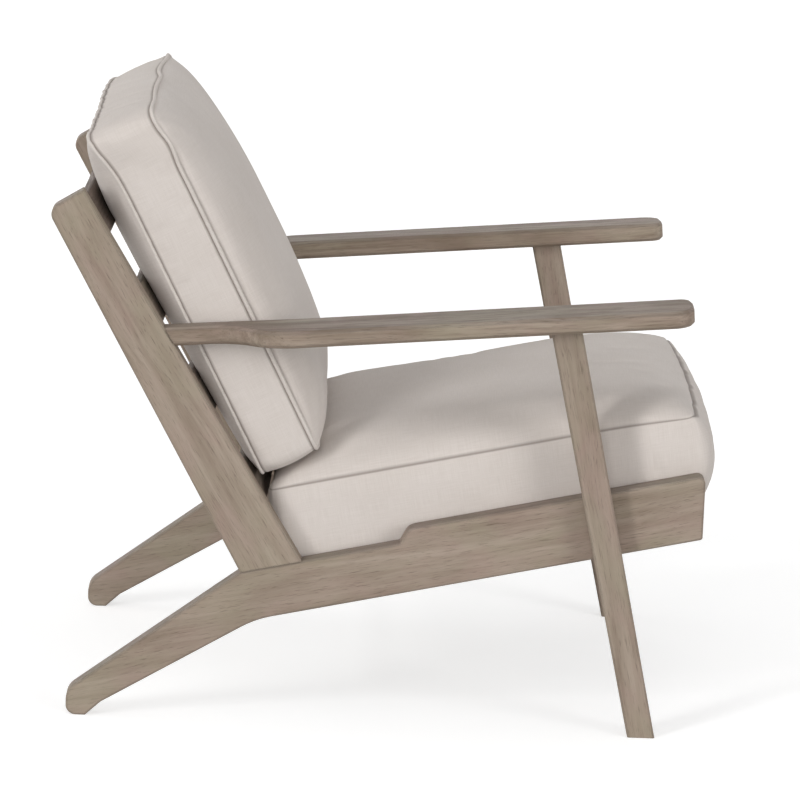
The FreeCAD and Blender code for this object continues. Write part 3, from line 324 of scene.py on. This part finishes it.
def metal(name, colour, roughness):
    """Plain turned metal with faint lathe marks."""
    made, tree, shader = material(name, {"Metallic": 1.0, "Roughness": roughness})
    place = node(tree, "TexCoord").outputs["Object"]
    marks = noise(tree, stretched(tree, place, 4000, 300, 300), 1.0, 2.0)
    tint = mixed(tree, marks, colour, tuple(0.7 * level for level in colour[:3]) + (1,))
    tree.links.new(tint, shader.inputs["Base Color"])
    tree.links.new(bump(tree, marks, 0.2, 0.2 * MM), shader.inputs["Normal"])
    return made


WOOD = {
    "rail": washed_wood("rail_wood", (SEAT_TILT, 0, 0), (0.1, 0, 0)),
    "post": washed_wood("post_wood", (90 + POST_LEAN, 0, 0), (0.7, 0, 0.3)),
    "leg": washed_wood("leg_wood", (90 + LEG_LEAN, 0, 0), (1.3, 0.2, 0)),
    "arm": washed_wood("arm_wood", (ARM_SLOPE, 0, 0), (1.9, 0, 0.6), contrast=1.1, streaks=0.6),
    # Back slats: painted shade, the same wood coloured much darker
    "slat": washed_wood("slat_wood_shaded", (0, 0, 90), (2.5, 0, 0), pale=SLAT_SHADED_PALE, deep=SLAT_SHADED_DEEP,
                        rosy=SLAT_SHADED_DEEP),
    "deck": washed_wood("deck_wood", (0, 0, 90), (3.1, 0.4, 0), contrast=0.7),
}
LINEN = linen("linen")
ZINC = metal("zinc_steel", ZINC_GREY, 0.35)
BRASS = metal("brass", BRASS_YELLOW, 0.4)

FINISHES = {
    "side_rail": WOOD["rail"], "back_post": WOOD["post"], "front_leg": WOOD["leg"],
    "armrest": WOOD["arm"], "back_slat": WOOD["slat"], "front_cross_rail": WOOD["deck"],
    "rear_cross_rail": WOOD["deck"], "seat_cleat": WOOD["rail"], "seat_slat": WOOD["deck"],
    "leg_bolts": ZINC, "leg_washers": ZINC, "leg_threaded_sleeves": BRASS,
}

# Softened edges: how near corners are joined, the rounding, and the degrees from which an edge is sharp
JOINED_WITHIN = 0.02 * MM
EDGE_ROUNDING = 0.9 * MM
SHARP_EDGE = 24


def finish_boards():
    """Gives each solid of the frame its material and softly rounded edges."""
    for name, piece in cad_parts.items():
        kinds = [kind for kind in FINISHES if name.startswith(kind)]
        if not kinds:
            continue
        piece.data.materials.clear()
        piece.data.materials.append(FINISHES[kinds[0]])
        weld = piece.modifiers.new("weld", "WELD")
        weld.merge_threshold = JOINED_WITHIN
        rounding = piece.modifiers.new("rounding", "BEVEL")
        rounding.width = EDGE_ROUNDING
        rounding.segments = 2
        rounding.limit_method = "ANGLE"
        rounding.angle_limit = math.radians(SHARP_EDGE)
        rounding.harden_normals = True


# Cushions. Each is drawn as (across, along, square) in its own side frame: along runs from the rear
# of the seat cushion to its front, and from the foot of the back cushion to its top. The seat's over
# panel is its top. The back cushion's over panel leans on the slats, its under panel is the front.

NEAR_SIDE, FAR_SIDE = -CUSHION_HALF_WIDTH, CUSHION_HALF_WIDTH
SEAT_REAR, SEAT_FRONT = 56 * MM, 647 * MM
SEAT_BASE = 46.4 * MM
SEAT_BOXING = 122 * MM
BACK_FOOT, BACK_TOP = 0, 523 * MM
BACK_BOXING = 82 * MM

# Mesh: its squares, and the narrow squares beside a seam
GRID = 8 * MM
SEAM_STEP = 1.4 * MM

# Corners of the plan, and how the boxing swells between its seams: less makes it squarer
CORNER_RADIUS = 16 * MM
SWELL_SHAPE = 0.75

# Seams: how far they are drawn in, and how far the cloth beside them is lifted
SEAM_DEPTH = 1.3 * MM
SEAM_LIP = 0.4 * MM

# How strongly the painted shade of a seam shows beside a piped and a stitched seam; in the seam itself it
# is 1
WELTED_SHADE = 0.9
STITCHED_SHADE = 0.72

# Plane that the back cushion leans on: the front of the slats, seen from the cushion's lower rear seam
LEAN_ON = 13 * MM
LEAN_SLOPE = math.tan(math.radians(POST_LEAN - BACK_LEAN))
SLAT_BOW = 9 * MM
CLEAR_OF_SLATS = 1.2 * MM
CLOTH_CLEARANCE = 0.8 * MM
TOP_SLAT_PLACE = 459 * MM
ROOM_ABOVE_SLATS = 60 * MM
LEAN_BLEND = 8 * MM

# Sides: how far the cloth may bulge out, and the run before the high end where it is free to
MOST_BULGE = 5.2 * MM
FREE_RUN = 60 * MM

# Waves in the seams of the sides begin near the high end and grow to their full depth over a run
SIDE_WAVES = 150 * MM
SIDE_WAVES_RUN = 90 * MM

# Share of a seam's waves that also runs along the panel, and what is added to the seed of each wave
WAVE_ALONG = 0.6
WAVE_SEEDS = {"over": 4, "under": 5, "along": 7}

# Pleats start at a distance from their corner, keep a margin to the seams and differ by the seed
PLEAT_START = 12 * MM
PLEAT_MARGIN = 6 * MM
PLEAT_SHIFT = 1.3

# The boxing's weave lies apart from that of the panels
BOXING_WEAVE = 3

# Added to lengths that may be nothing
NO_RUN = 1e-9
NEXT_TO_NOTHING = 1e-12


def room_at_slats(across, along, clearance):
    """How far the back cushion may stand off its rear seam before it meets the bowed slats."""
    bow = SLAT_BOW * (1 - (across / HALF_BETWEEN_RAILS) ** 2)
    return LEAN_ON + LEAN_SLOPE * along - bow - clearance


def unit(rows):
    """Directions of some rows, each one long."""
    return rows / np.linalg.norm(rows, axis=1)[:, None]


def headings(loop):
    """Way ahead at each place of a closed loop."""
    return np.roll(loop, -1, 0) - np.roll(loop, 1, 0)


def runs_along(loop):
    """How far along a closed loop each place lies, and at the end its whole length."""
    steps = np.linalg.norm(np.roll(loop, -1, 0) - loop, axis=1)
    return np.concatenate([[0], np.cumsum(steps)])


def spaced(low, high, band):
    """Even steps with one narrow step at either end, beside the seams."""
    inner = np.linspace(low, high, round((high - low) / GRID) + 1)[1:-1]
    return np.concatenate([[low, low + band], inner, [high - band, high]])


def shoulder(distance, run, slimness):
    """Rises from 0 at a seam to 1 at a distance in from it; less slimness makes it fuller."""
    share = np.clip(distance / run, 0, 1)
    return (1 - (1 - share) ** 2) ** slimness


def softly_less(first, second, blend):
    """The lesser of two heights, rounded where they cross."""
    nearness = np.clip(0.5 + 0.5 * (second - first) / blend, 0, 1)
    return second + (first - second) * nearness - blend * nearness * (1 - nearness)


def waves(places, seed, *lengths):
    """Smooth uneven waves between -1 and 1 along a run of places."""
    dice = np.random.default_rng(seed)
    total = np.zeros(np.shape(places))
    for length in lengths:
        total += np.sin(2 * math.pi * places / length + dice.uniform(0, 2 * math.pi)) / len(lengths)
    return total


class Panel:
    """One large face of a cushion: level of its seam and the crown that stands off it.

    The low and high ends are (rise, run, slimness) of the crown there, the sides (run, slimness). A
    bow lengthens the panel in the middle of its high end. A panel that leans stays clear of the slats.
    """

    def __init__(self, seam, low_end=None, high_end=None, sides=None, bow=0.0, leans=False):
        self.seam = seam
        self.low_end = low_end
        self.high_end = high_end
        self.sides = sides
        self.bow = bow
        self.leans = leans
        self.way = math.copysign(1, low_end[0]) if low_end else 1

    def height(self, across, along, low, high):
        """How far the panel stands off the level of its seam."""
        if self.sides is None:
            return np.zeros_like(across)
        share = (along - low) / (high - low)
        full = self.low_end[0] + (self.high_end[0] - self.low_end[0]) * share
        full = full * shoulder(CUSHION_HALF_WIDTH - abs(across), *self.sides)
        full = full * shoulder(along - low, *self.low_end[1:])
        full = full * shoulder(high - along, *self.high_end[1:])
        if self.leans:
            above = np.clip((along - TOP_SLAT_PLACE) / (high - TOP_SLAT_PLACE), 0, 1)
            room = room_at_slats(across, along, CLEAR_OF_SLATS) + ROOM_ABOVE_SLATS * above ** 1.5
            full = np.minimum(softly_less(full, room, LEAN_BLEND), room)
        return full


class Cushion:
    """A box cushion: two crowned panels and the boxing between them, as one mesh of squares.

    Panels are named over and under. The swells are how far the boxing stands out at the high end, the
    low end and the sides, the lean is how far the under panel falls short at the high end, and the
    tuck is how much deeper the over panel's seam is drawn in there. The band is the boxing's narrow
    step beside each seam.
    Ears pull at a panel: (panel, (across, along), reach, shift).
    Seam waves: (panel, part of its seam, depth, wave lengths).
    Pleats fan out from a corner: (panel, side, end, depth, reach, count), side and end as -1 or 1.
    """

    def __init__(self, name, side_frame, low, high, over, under, swells, ears, seam_waves, pleats, seed,
                 lean=0.0, tuck=0.0, band=SEAM_STEP):
        self.name = name
        self.side_frame = side_frame
        self.low = low
        self.high = high
        self.over = over
        self.under = under
        self.swells = swells
        self.ears = ears
        self.seam_waves = seam_waves
        self.pleats = pleats
        self.seed = seed
        self.lean = lean
        self.tuck = tuck
        self.across = spaced(-CUSHION_HALF_WIDTH, CUSHION_HALF_WIDTH, SEAM_STEP)
        self.along = spaced(low, high, SEAM_STEP)
        self.steps = spaced(under.seam, over.seam, band)[::-1]

    def label(self, face):
        """Name of a panel of this cushion."""
        return "over" if face is self.over else "under"

    def panel(self, face):
        """Grid of places of one panel."""
        across, along = np.meshgrid(self.across, self.along, indexing="ij")
        height = face.height(across, along, self.low, self.high)
        height = height + face.way * self.pleated(face, across, along)
        across, along = self.round_corners(across, along)
        share = (along - self.low) / (self.high - self.low)
        along = along + face.bow * (1 - (across / CUSHION_HALF_WIDTH) ** 2) * share ** 3
        if face is self.under:
            along = along - self.lean * np.clip(share, 0, 1) ** 3
        spots = np.stack([across, along, face.seam + height], -1)
        for owner, place, reach, shift in self.ears:
            if owner == self.label(face):
                distance = np.hypot(across - place[0], along - place[1])
                spots = spots + np.exp(-(distance / reach) ** 2)[..., None] * np.array(shift)
        return spots

    def pleated(self, face, across, along):
        """Creases that fan out from the corners of a panel, where its cover is gathered."""
        total = np.zeros_like(across)
        for owner, side, end, depth, reach, count in self.pleats:
            if owner != self.label(face):
                continue
            run = CUSHION_HALF_WIDTH - side * across
            rise = (self.high - along) if end > 0 else (along - self.low)
            distance = np.hypot(run, rise)
            turn = np.arctan2(rise, run + NO_RUN)
            fade = np.exp(-distance / reach) * (1 - np.exp(-(distance / PLEAT_START) ** 2))
            fade = fade * np.clip(np.minimum(run, rise) / PLEAT_MARGIN, 0, 1)
            total += depth * fade * np.sin(2 * count * turn + PLEAT_SHIFT * self.seed + side + end)
        return total

    def round_corners(self, across, along):
        """Rounds the corners of the plan without folding the grid."""
        half, radius = CUSHION_HALF_WIDTH, CORNER_RADIUS
        side = np.clip((abs(across) - half + radius) / radius, 0, 1)
        middle = (self.low + self.high) / 2
        reach = (self.high - self.low) / 2
        end = np.clip((abs(along - middle) - reach + radius) / radius, 0, 1)
        inside = (side > 0) & (end > 0)
        new_side = side * np.sqrt(1 - end ** 2 / 2)
        new_end = end * np.sqrt(1 - side ** 2 / 2)
        across = np.where(inside, np.sign(across) * (half - radius + radius * new_side), across)
        along = np.where(inside, middle + np.sign(along - middle) * (reach - radius + radius * new_end),
                         along)
        return across, along

    def border(self):
        """Grid places once around a panel."""
        last_column, last_row = len(self.across) - 1, len(self.along) - 1
        return ([(i, 0) for i in range(last_column)]
                + [(last_column, j) for j in range(last_row)]
                + [(i, last_row) for i in range(last_column, 0, -1)]
                + [(0, j) for j in range(last_row, 0, -1)])

    def wave_seams(self, first, second, runs):
        """Lets the seams, given as loops of places, run unevenly."""
        near_high = np.clip((first[:, 1] - self.high + SIDE_WAVES) / SIDE_WAVES_RUN, 0, 1)
        shares = {"high": np.clip(self.outward[:, 1], 0, 1), "low": np.clip(-self.outward[:, 1], 0, 1),
                  "sides": abs(self.outward[:, 0]) * near_high}
        for owner, part, depth, lengths in self.seam_waves:
            ring = first if owner == "over" else second
            depths = depth * shares[part]
            up = waves(runs[:-1], self.seed + WAVE_SEEDS[owner], *lengths)
            along = waves(runs[:-1], self.seed + WAVE_SEEDS["along"], *lengths)
            ring[:, 2] += depths * up
            ring[:, 1] += WAVE_ALONG * depths * along

    def weave_faces(self, over, under, runs):
        """All faces as corner numbers, and the place of each of their corners on the weave."""
        faces = []
        places = []
        for start, shift, grid in ((0, 0, over), (self.count, 1, under)):
            for i in range(len(self.across) - 1):
                for j in range(len(self.along) - 1):
                    ring = [(i, j), (i + 1, j), (i + 1, j + 1), (i, j + 1)]
                    faces.append([start + self.number[a, b] for a, b in ring])
                    places += [(grid[a, b, 0] + shift, grid[a, b, 1]) for a, b in ring]
        total = len(self.outward)
        for band in range(len(self.steps) - 1):
            low, high = BOXING_WEAVE + abs(self.steps[band:band + 2] - self.over.seam)
            upper, lower = self.rings[band], self.rings[band + 1]
            for n in range(total):
                after = (n + 1) % total
                faces.append([upper[n], upper[after], lower[after], lower[n]])
                places += [(runs[n], low), (runs[n + 1], low), (runs[n + 1], high), (runs[n], high)]
        return faces, np.array(places)

    def build(self):
        """Works out the closed mesh, its weave map and its rings of corner numbers."""
        over, under = self.panel(self.over), self.panel(self.under)
        self.count = over.shape[0] * over.shape[1]
        self.number = np.arange(self.count).reshape(over.shape[:2])
        ring_over = np.array([self.number[i, j] for i, j in self.border()])
        spots = [over.reshape(-1, 3).copy(), under.reshape(-1, 3).copy()]
        first, second = spots[0][ring_over], spots[1][ring_over]
        ahead = headings(first)
        self.outward = unit(np.stack([ahead[:, 1], -ahead[:, 0], 0 * ahead[:, 0]], -1))
        runs = runs_along(first)
        self.wave_seams(first, second, runs)
        spots[0][ring_over] = first
        spots[1][ring_over] = second
        swell = (self.swells[0] * np.clip(self.outward[:, 1], 0, 1) ** 2
                 + self.swells[1] * np.clip(-self.outward[:, 1], 0, 1) ** 2
                 + self.swells[2] * self.outward[:, 0] ** 2)
        self.rings = [ring_over]
        total = len(ring_over)
        for band in range(1, len(self.steps) - 1):
            share = (self.steps[band] - self.over.seam) / (self.under.seam - self.over.seam)
            full = math.sin(math.pi * share) ** SWELL_SHAPE
            self.rings.append(2 * self.count + (band - 1) * total + np.arange(total))
            spots.append(first + (second - first) * share + self.outward * (swell * full)[:, None])
        self.rings.append(ring_over + self.count)
        self.spots = np.concatenate(spots)
        self.faces, self.places = self.weave_faces(over, under, runs)


seat_form = Cushion(
    "seat_cushion", SEAT, SEAT_REAR, SEAT_FRONT,
    over=Panel(SEAT_BASE + SEAT_BOXING, (50 * MM, 104 * MM, 0.53), (41 * MM, 189 * MM, 0.59),
               (137 * MM, 0.48), bow=7 * MM),
    under=Panel(SEAT_BASE, bow=8 * MM),
    swells=(21 * MM, 5 * MM, 5 * MM),
    ears=[("over", (NEAR_SIDE, SEAT_REAR), 0.05, (0, -7 * MM, 0)),
          ("under", (NEAR_SIDE, SEAT_REAR), 0.05, (0, -4 * MM, 0)),
          ("over", (NEAR_SIDE, SEAT_FRONT), 0.07, (0, 0, -3.5 * MM)),
          ("over", (FAR_SIDE, SEAT_FRONT), 0.07, (0, 0, -3.5 * MM)),
          ("over", (FAR_SIDE, SEAT_FRONT), 0.25, (0, -4 * MM, 1.5 * MM))],
    seam_waves=[("over", "high", 3.4 * MM, (0.083, 0.047, 0.031))],
    pleats=[("over", -1, 1, 1.2 * MM, 0.05, 7), ("over", 1, 1, 1.2 * MM, 0.05, 6)],
    seed=5, lean=12 * MM, tuck=4.5 * MM)
back_form = Cushion(
    "back_cushion", BACK, BACK_FOOT, BACK_TOP,
    over=Panel(0, (30 * MM, 102 * MM, 0.58), (46 * MM, 218 * MM, 0.48), (88 * MM, 0.61), bow=12 * MM,
               leans=True),
    under=Panel(-BACK_BOXING, (-54 * MM, 237 * MM, 0.41), (-48 * MM, 209 * MM, 0.53), (162 * MM, 0.4),
                bow=3 * MM),
    swells=(1.5 * MM, 5 * MM, 5 * MM),
    ears=[("over", (NEAR_SIDE, BACK_TOP), 0.045, (-8 * MM, 0, 12 * MM)),
          ("over", (70 * MM + NEAR_SIDE, BACK_TOP), 0.06, (0, 2 * MM, 4 * MM)),
          ("over", (FAR_SIDE, BACK_TOP), 0.045, (0, -3 * MM, -1 * MM)),
          ("under", (NEAR_SIDE, BACK_TOP), 0.030, (-1 * MM, -5 * MM, 2 * MM)),
          ("under", (FAR_SIDE, BACK_TOP), 0.045, (0, -2 * MM, 0))],
    seam_waves=[("under", "high", 4 * MM, (0.30, 0.19)), ("under", "sides", 2.4 * MM, (0.12, 0.07)),
                ("over", "high", 2.2 * MM, (0.06, 0.033, 0.021)),
                ("under", "low", 1.6 * MM, (0.07, 0.04))],
    pleats=[("under", -1, 1, 2.2 * MM, 0.06, 5), ("under", 1, 1, 1.8 * MM, 0.05, 6),
            ("under", -1, -1, 1.4 * MM, 0.05, 6), ("under", 1, -1, 1.4 * MM, 0.05, 5)],
    seed=3, band=3.4 * MM)

# Piping of each seam: radius, and how unevenly it is gathered
WELTS = {"back_cushion": {"under": (2.8 * MM, 0.03), "over": (2.5 * MM, 0.13)}}
WELT_SIDES = 10
GATHER_LENGTHS = (0.031, 0.019)

# How far the piping's middle stands out from its seam, in radii
WELT_STANDS_OUT = 0.12

# The cloth: frames that it settles for, pressure inside, and how much larger than its form it is cut
SETTLE_FRAMES = 20
FILLING_PRESSURE = 4.0
SPARE_CLOTH = 0.010

# What is kept of its moves: the smooth part as puff, the rest as wrinkles
SMOOTHING_ROUNDS = 90
MOST_PUFF = 2.5 * MM
MOST_WRINKLE = 1.6 * MM


def new_object(name, spots, faces, places=None):
    """A mesh object with smooth faces and, if places are given, a weave map."""
    mesh = bpy.data.meshes.new(name)
    mesh.from_pydata([tuple(spot) for spot in spots], [], [[int(n) for n in face] for face in faces])
    if places is not None:
        layer = mesh.uv_layers.new(name="weave")
        layer.uv.foreach_set("vector", np.asarray(places, np.float32).ravel())
    mesh.polygons.foreach_set("use_smooth", [True] * len(mesh.polygons))
    mesh.update()
    made = bpy.data.objects.new(name, mesh)
    bpy.context.scene.collection.objects.link(made)
    return made


def mesh_spots(mesh):
    """Places of a mesh's corners."""
    spots = np.empty(3 * len(mesh.vertices), np.float32)
    mesh.vertices.foreach_get("co", spots)
    return spots.reshape(-1, 3).astype(float)


def turned_outward(made):
    """Makes all faces of a closed mesh look outwards."""
    shell = bmesh.new()
    shell.from_mesh(made.data)
    bmesh.ops.recalc_face_normals(shell, faces=shell.faces)
    shell.to_mesh(made.data)
    shell.free()
    return made


def neighbour_mean(spots, pairs, rounds):
    """Values of a mesh's corners, evened out along its edges."""
    count = np.bincount(pairs.ravel(), minlength=len(spots))[:, None]
    for _ in range(rounds):
        total = np.zeros_like(spots)
        np.add.at(total, pairs[:, 0], spots[pairs[:, 1]])
        np.add.at(total, pairs[:, 1], spots[pairs[:, 0]])
        spots = 0.5 * spots + 0.5 * total / count
    return spots


def limited(moves, most):
    """Moves that bend over smoothly towards a greatest length."""
    length = np.linalg.norm(moves, axis=1)[:, None] + NEXT_TO_NOTHING
    return moves / length * most * np.tanh(length / most)


def settled(form):
    """Lets the cover settle as cloth round its filling, held at its seams.

    The sewn form keeps its outline; what the cloth adds is its wrinkles and a little puff.
    """
    cover = turned_outward(new_object("settling", form.spots, form.faces))
    held = np.unique(np.concatenate([form.rings[0], form.rings[-1]]))
    cover.vertex_groups.new(name="seams").add([int(n) for n in held], 1.0, "REPLACE")
    cloth = cover.modifiers.new("cloth", "CLOTH")
    cloth.point_cache.frame_start = 1
    cloth.point_cache.frame_end = SETTLE_FRAMES
    rules = cloth.settings
    rules.quality = 5
    rules.mass = 0.3
    rules.tension_stiffness = 15
    rules.compression_stiffness = 12
    rules.shear_stiffness = 4
    rules.bending_stiffness = 0.4
    rules.use_pressure = True
    rules.uniform_pressure_force = FILLING_PRESSURE
    rules.effector_weights.gravity = 0
    rules.vertex_group_mass = "seams"
    rules.shrink_min = -SPARE_CLOTH
    scene = bpy.context.scene
    for frame_number in range(1, SETTLE_FRAMES + 1):
        scene.frame_set(frame_number)
    evaluated = cover.evaluated_get(bpy.context.evaluated_depsgraph_get())
    moved = mesh_spots(evaluated.to_mesh()) - form.spots
    evaluated.to_mesh_clear()
    scene.frame_set(1)
    pairs = np.array([edge.vertices[:] for edge in cover.data.edges])
    bpy.data.objects.remove(cover)
    puff = neighbour_mean(moved, pairs, SMOOTHING_ROUNDS)
    wrinkles = moved - puff
    return form.spots + limited(puff, MOST_PUFF) + limited(wrinkles, MOST_WRINKLE)


def kept_in_place(form, spots):
    """Holds the cloth where the cushion rests on something or passes close to the frame."""
    if form is seat_form:
        spots[:, 2] = np.maximum(spots[:, 2], form.under.seam)
    else:
        room = room_at_slats(spots[:, 0], spots[:, 1], CLOTH_CLEARANCE)
        beside = spots[:, 1] < TOP_SLAT_PLACE
        spots[beside, 2] = np.minimum(spots[beside, 2], room[beside])
    low_part = spots[:, 1] < form.high - FREE_RUN
    widest = CUSHION_HALF_WIDTH + MOST_BULGE
    spots[low_part, 0] = np.clip(spots[low_part, 0], -widest, widest)
    return spots


def sewn(form, spots):
    """Draws the seams in and lifts the cloth beside them; gives also how near a seam each corner is."""
    nearness = np.zeros(len(spots))
    across = np.array([form.number[:, 1], form.number[:, -2]]).ravel()
    along = np.array([form.number[1, :], form.number[-2, :]]).ravel()
    beside = np.unique(np.concatenate([across, along]))
    for face, start, seam, ring in ((form.over, 0, form.rings[0], form.rings[1]),
                                    (form.under, form.count, form.rings[-1], form.rings[-2])):
        lift = np.array([0, 0, np.sign(face.seam - (form.over.seam + form.under.seam) / 2)])
        inwards = -(form.outward + lift) / math.sqrt(2)
        front = np.clip(form.outward[:, 1], 0, 1) * (face is form.over)
        spots[seam] += inwards * (SEAM_DEPTH + form.tuck * front)[:, None]
        spots[ring] += form.outward * SEAM_LIP
        band = np.setdiff1d(beside + start, seam)
        spots[band] += lift * SEAM_LIP
        nearness[seam] = 1.0
        nearness[ring] = WELTED_SHADE if form.name in WELTS else STITCHED_SHADE * front
    return spots, nearness


def make_cushion(form, body):
    """Sews a cushion's cover and its piping and lets them ride a body of the frame."""
    form.build()
    seams = {"over": form.spots[form.rings[0]].copy(), "under": form.spots[form.rings[-1]].copy()}
    spots = settled(form)
    spots, nearness = sewn(form, kept_in_place(form, spots))
    cover = turned_outward(new_object(
        form.name + "_fabric", in_chair(form.side_frame, spots), form.faces, form.places))
    cover.data.attributes.new("seam_near", "FLOAT", "POINT").data.foreach_set("value", nearness)
    smooth = cover.modifiers.new("smooth", "SUBSURF")
    smooth.levels = smooth.render_levels = 1
    cover.data.materials.append(LINEN)
    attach(cover, body)
    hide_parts(form.name + "_cover", form.name + "_core")
    for label, (radius, gathers) in WELTS.get(form.name, {}).items():
        make_welt(form, seams[label], radius, gathers, label, body)


def make_welt(form, loop, radius, gathers, label, body):
    """Piping along a seam: a thin roll of the same cloth, sewn into the corner of the cushion."""
    centre = (form.over.seam + form.under.seam) / 2
    lift = np.zeros_like(form.outward)
    lift[:, 2] = np.sign(loop[:, 2] - centre)
    middle = loop + (form.outward + lift) * (WELT_STANDS_OUT * radius)
    ahead = unit(headings(middle))
    side = unit(np.cross(ahead, lift))
    up = np.cross(side, ahead)
    turns = np.linspace(0, 2 * math.pi, WELT_SIDES, endpoint=False)
    runs = runs_along(middle)
    gathered = radius * (1 + gathers * waves(runs[:-1], form.seed, *GATHER_LENGTHS))[:, None]
    rings = [middle + gathered * (math.cos(t) * side + math.sin(t) * up) for t in turns]
    spots = np.stack(rings, 1).reshape(-1, 3)
    faces, places = [], []
    count = len(middle)
    width = 2 * math.pi * radius / WELT_SIDES
    for n in range(count):
        after = (n + 1) % count * WELT_SIDES
        for k in range(WELT_SIDES):
            beyond = (k + 1) % WELT_SIDES
            faces.append([n * WELT_SIDES + k, n * WELT_SIDES + beyond, after + beyond, after + k])
            places += [(runs[n], width * k), (runs[n], width * (k + 1)),
                       (runs[n + 1], width * (k + 1)), (runs[n + 1], width * k)]
    welt = turned_outward(new_object(
        f"{form.name}_welt_{label}", in_chair(form.side_frame, spots), faces, places))
    welt.data.materials.append(LINEN)
    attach(welt, body)


# Floor, light and camera

FLOOR_DARK = (0.59, 0.59, 0.59, 1)
FLOOR_LIGHT = (0.61, 0.61, 0.61, 1)
FLOOR_GLOW = 0.60
FLOOR_REACH = 60.0
SKY_LEVEL = 0.22

# The camera's place was fitted to the outlines of both sides; its angles are in degrees
CAMERA_DISTANCE = 6.293
CAMERA_TARGET = (0.0, HEEL_TO_MIDDLE - 0.454, 0.395)
CAMERA_ELEVATION = 13.0
CAMERA_TURN = -1.23
CAMERA_ROLL = 2.12
CAMERA_LENS = 197.64
CAMERA_SENSOR = 36


def looked_at(tree):
    """1 where a ray shows what it meets, straight or in a reflection, 0 where it only lights."""
    rays = node(tree, "LightPath").outputs
    return maths(tree, "MAXIMUM", rays["Is Camera Ray"],
                 maths(tree, "MAXIMUM", rays["Is Glossy Ray"], rays["Is Transmission Ray"]))


def make_floor():
    """Pale floor that shows as white where nothing shades it."""
    made, tree, shader = material("studio_floor", {
        "Roughness": 0.9, "Specular IOR Level": 0.1, "Emission Color": WHITE})
    speckle = noise(tree, node(tree, "TexCoord").outputs["Object"], 30.0, 2.0)
    tree.links.new(mixed(tree, speckle, FLOOR_DARK, FLOOR_LIGHT), shader.inputs["Base Color"])
    tree.links.new(maths(tree, "MULTIPLY", looked_at(tree), FLOOR_GLOW),
                   shader.inputs["Emission Strength"])
    corners = [(FLOOR_REACH * x, FLOOR_REACH * y, 0) for x, y in ((-1, -1), (1, -1), (1, 1), (-1, 1))]
    floor = new_object("floor", corners, [[0, 1, 2, 3]])
    floor.data.materials.append(made)


def make_world():
    """White to the camera and in reflections, soft grey sky for the light."""
    world = bpy.data.worlds.new("studio")
    bpy.context.scene.world = world
    world.use_nodes = True
    tree = world.node_tree
    tree.nodes.clear()
    strength = maths(tree, "MULTIPLY_ADD", looked_at(tree), 1.0 - SKY_LEVEL, SKY_LEVEL)
    sky = node(tree, "Background", {"Color": WHITE, "Strength": strength})
    node(tree, "OutputWorld", {"Surface": sky.outputs[0]})


def make_sun(name, strength, softness, turn, rise):
    """Soft lamp: at turn 0 on the camera's side, at 90 behind the chair, at 180 on its far side.

    All angles are in degrees, the softness is the width of the lamp, the rise its height. Lamps
    above each other make a tall light: the legs' shadows stay sharp, the armrests' fade.
    """
    turn, rise = math.radians(turn), math.radians(rise)
    towards = (math.cos(rise) * math.cos(turn), -math.cos(rise) * math.sin(turn), -math.sin(rise))
    lamp = bpy.data.lights.new(name, "SUN")
    lamp.energy = strength
    lamp.angle = math.radians(softness)
    made = bpy.data.objects.new(name, lamp)
    made.rotation_mode = "QUATERNION"
    made.rotation_quaternion = Vector(towards).to_track_quat("-Z", "Y")
    bpy.context.scene.collection.objects.link(made)


def make_camera():
    """Camera at the photograph's place, looking across the chair from its right-hand side."""
    rise, turn = math.radians(CAMERA_ELEVATION), math.radians(CAMERA_TURN)
    back = Vector((-math.cos(turn) * math.cos(rise), -math.sin(turn) * math.cos(rise),
                   math.sin(rise)))
    right = (-back).cross(Vector((0, 0, 1))).normalized()
    up = right.cross(-back)
    roll = math.radians(CAMERA_ROLL)
    tilted_right = right * math.cos(roll) + up * math.sin(roll)
    tilted_up = up * math.cos(roll) - right * math.sin(roll)
    lens = bpy.data.cameras.new("camera")
    lens.lens = CAMERA_LENS
    lens.sensor_width = CAMERA_SENSOR
    made = bpy.data.objects.new("camera", lens)
    turned = Matrix((tilted_right, tilted_up, back)).transposed().to_4x4()
    made.matrix_world = Matrix.Translation(Vector(CAMERA_TARGET) + back * CAMERA_DISTANCE) @ turned
    bpy.context.scene.collection.objects.link(made)
    bpy.context.scene.camera = made


finish_boards()
make_cushion(seat_form, "seat_cushion")
make_cushion(back_form, "back_cushion")
make_floor()
make_world()
for rise in (4, 14, 26, 38):
    make_sun(f"rear_light_{rise}", strength=0.39, softness=9, turn=47, rise=rise)
for rise in (4, 12, 22):
    make_sun(f"front_light_{rise}", strength=0.45, softness=24, turn=-52, rise=rise)
make_sun("side_light", strength=0.5, softness=25, turn=4, rise=13)
make_sun("top_light", strength=0.56, softness=70, turn=0, rise=84)
make_sun("back_light", strength=0.9, softness=50, turn=110, rise=4)
make_sun("far_light", strength=0.6, softness=50, turn=180, rise=12)
make_camera()
bpy.context.scene.view_settings.view_transform = "Standard"
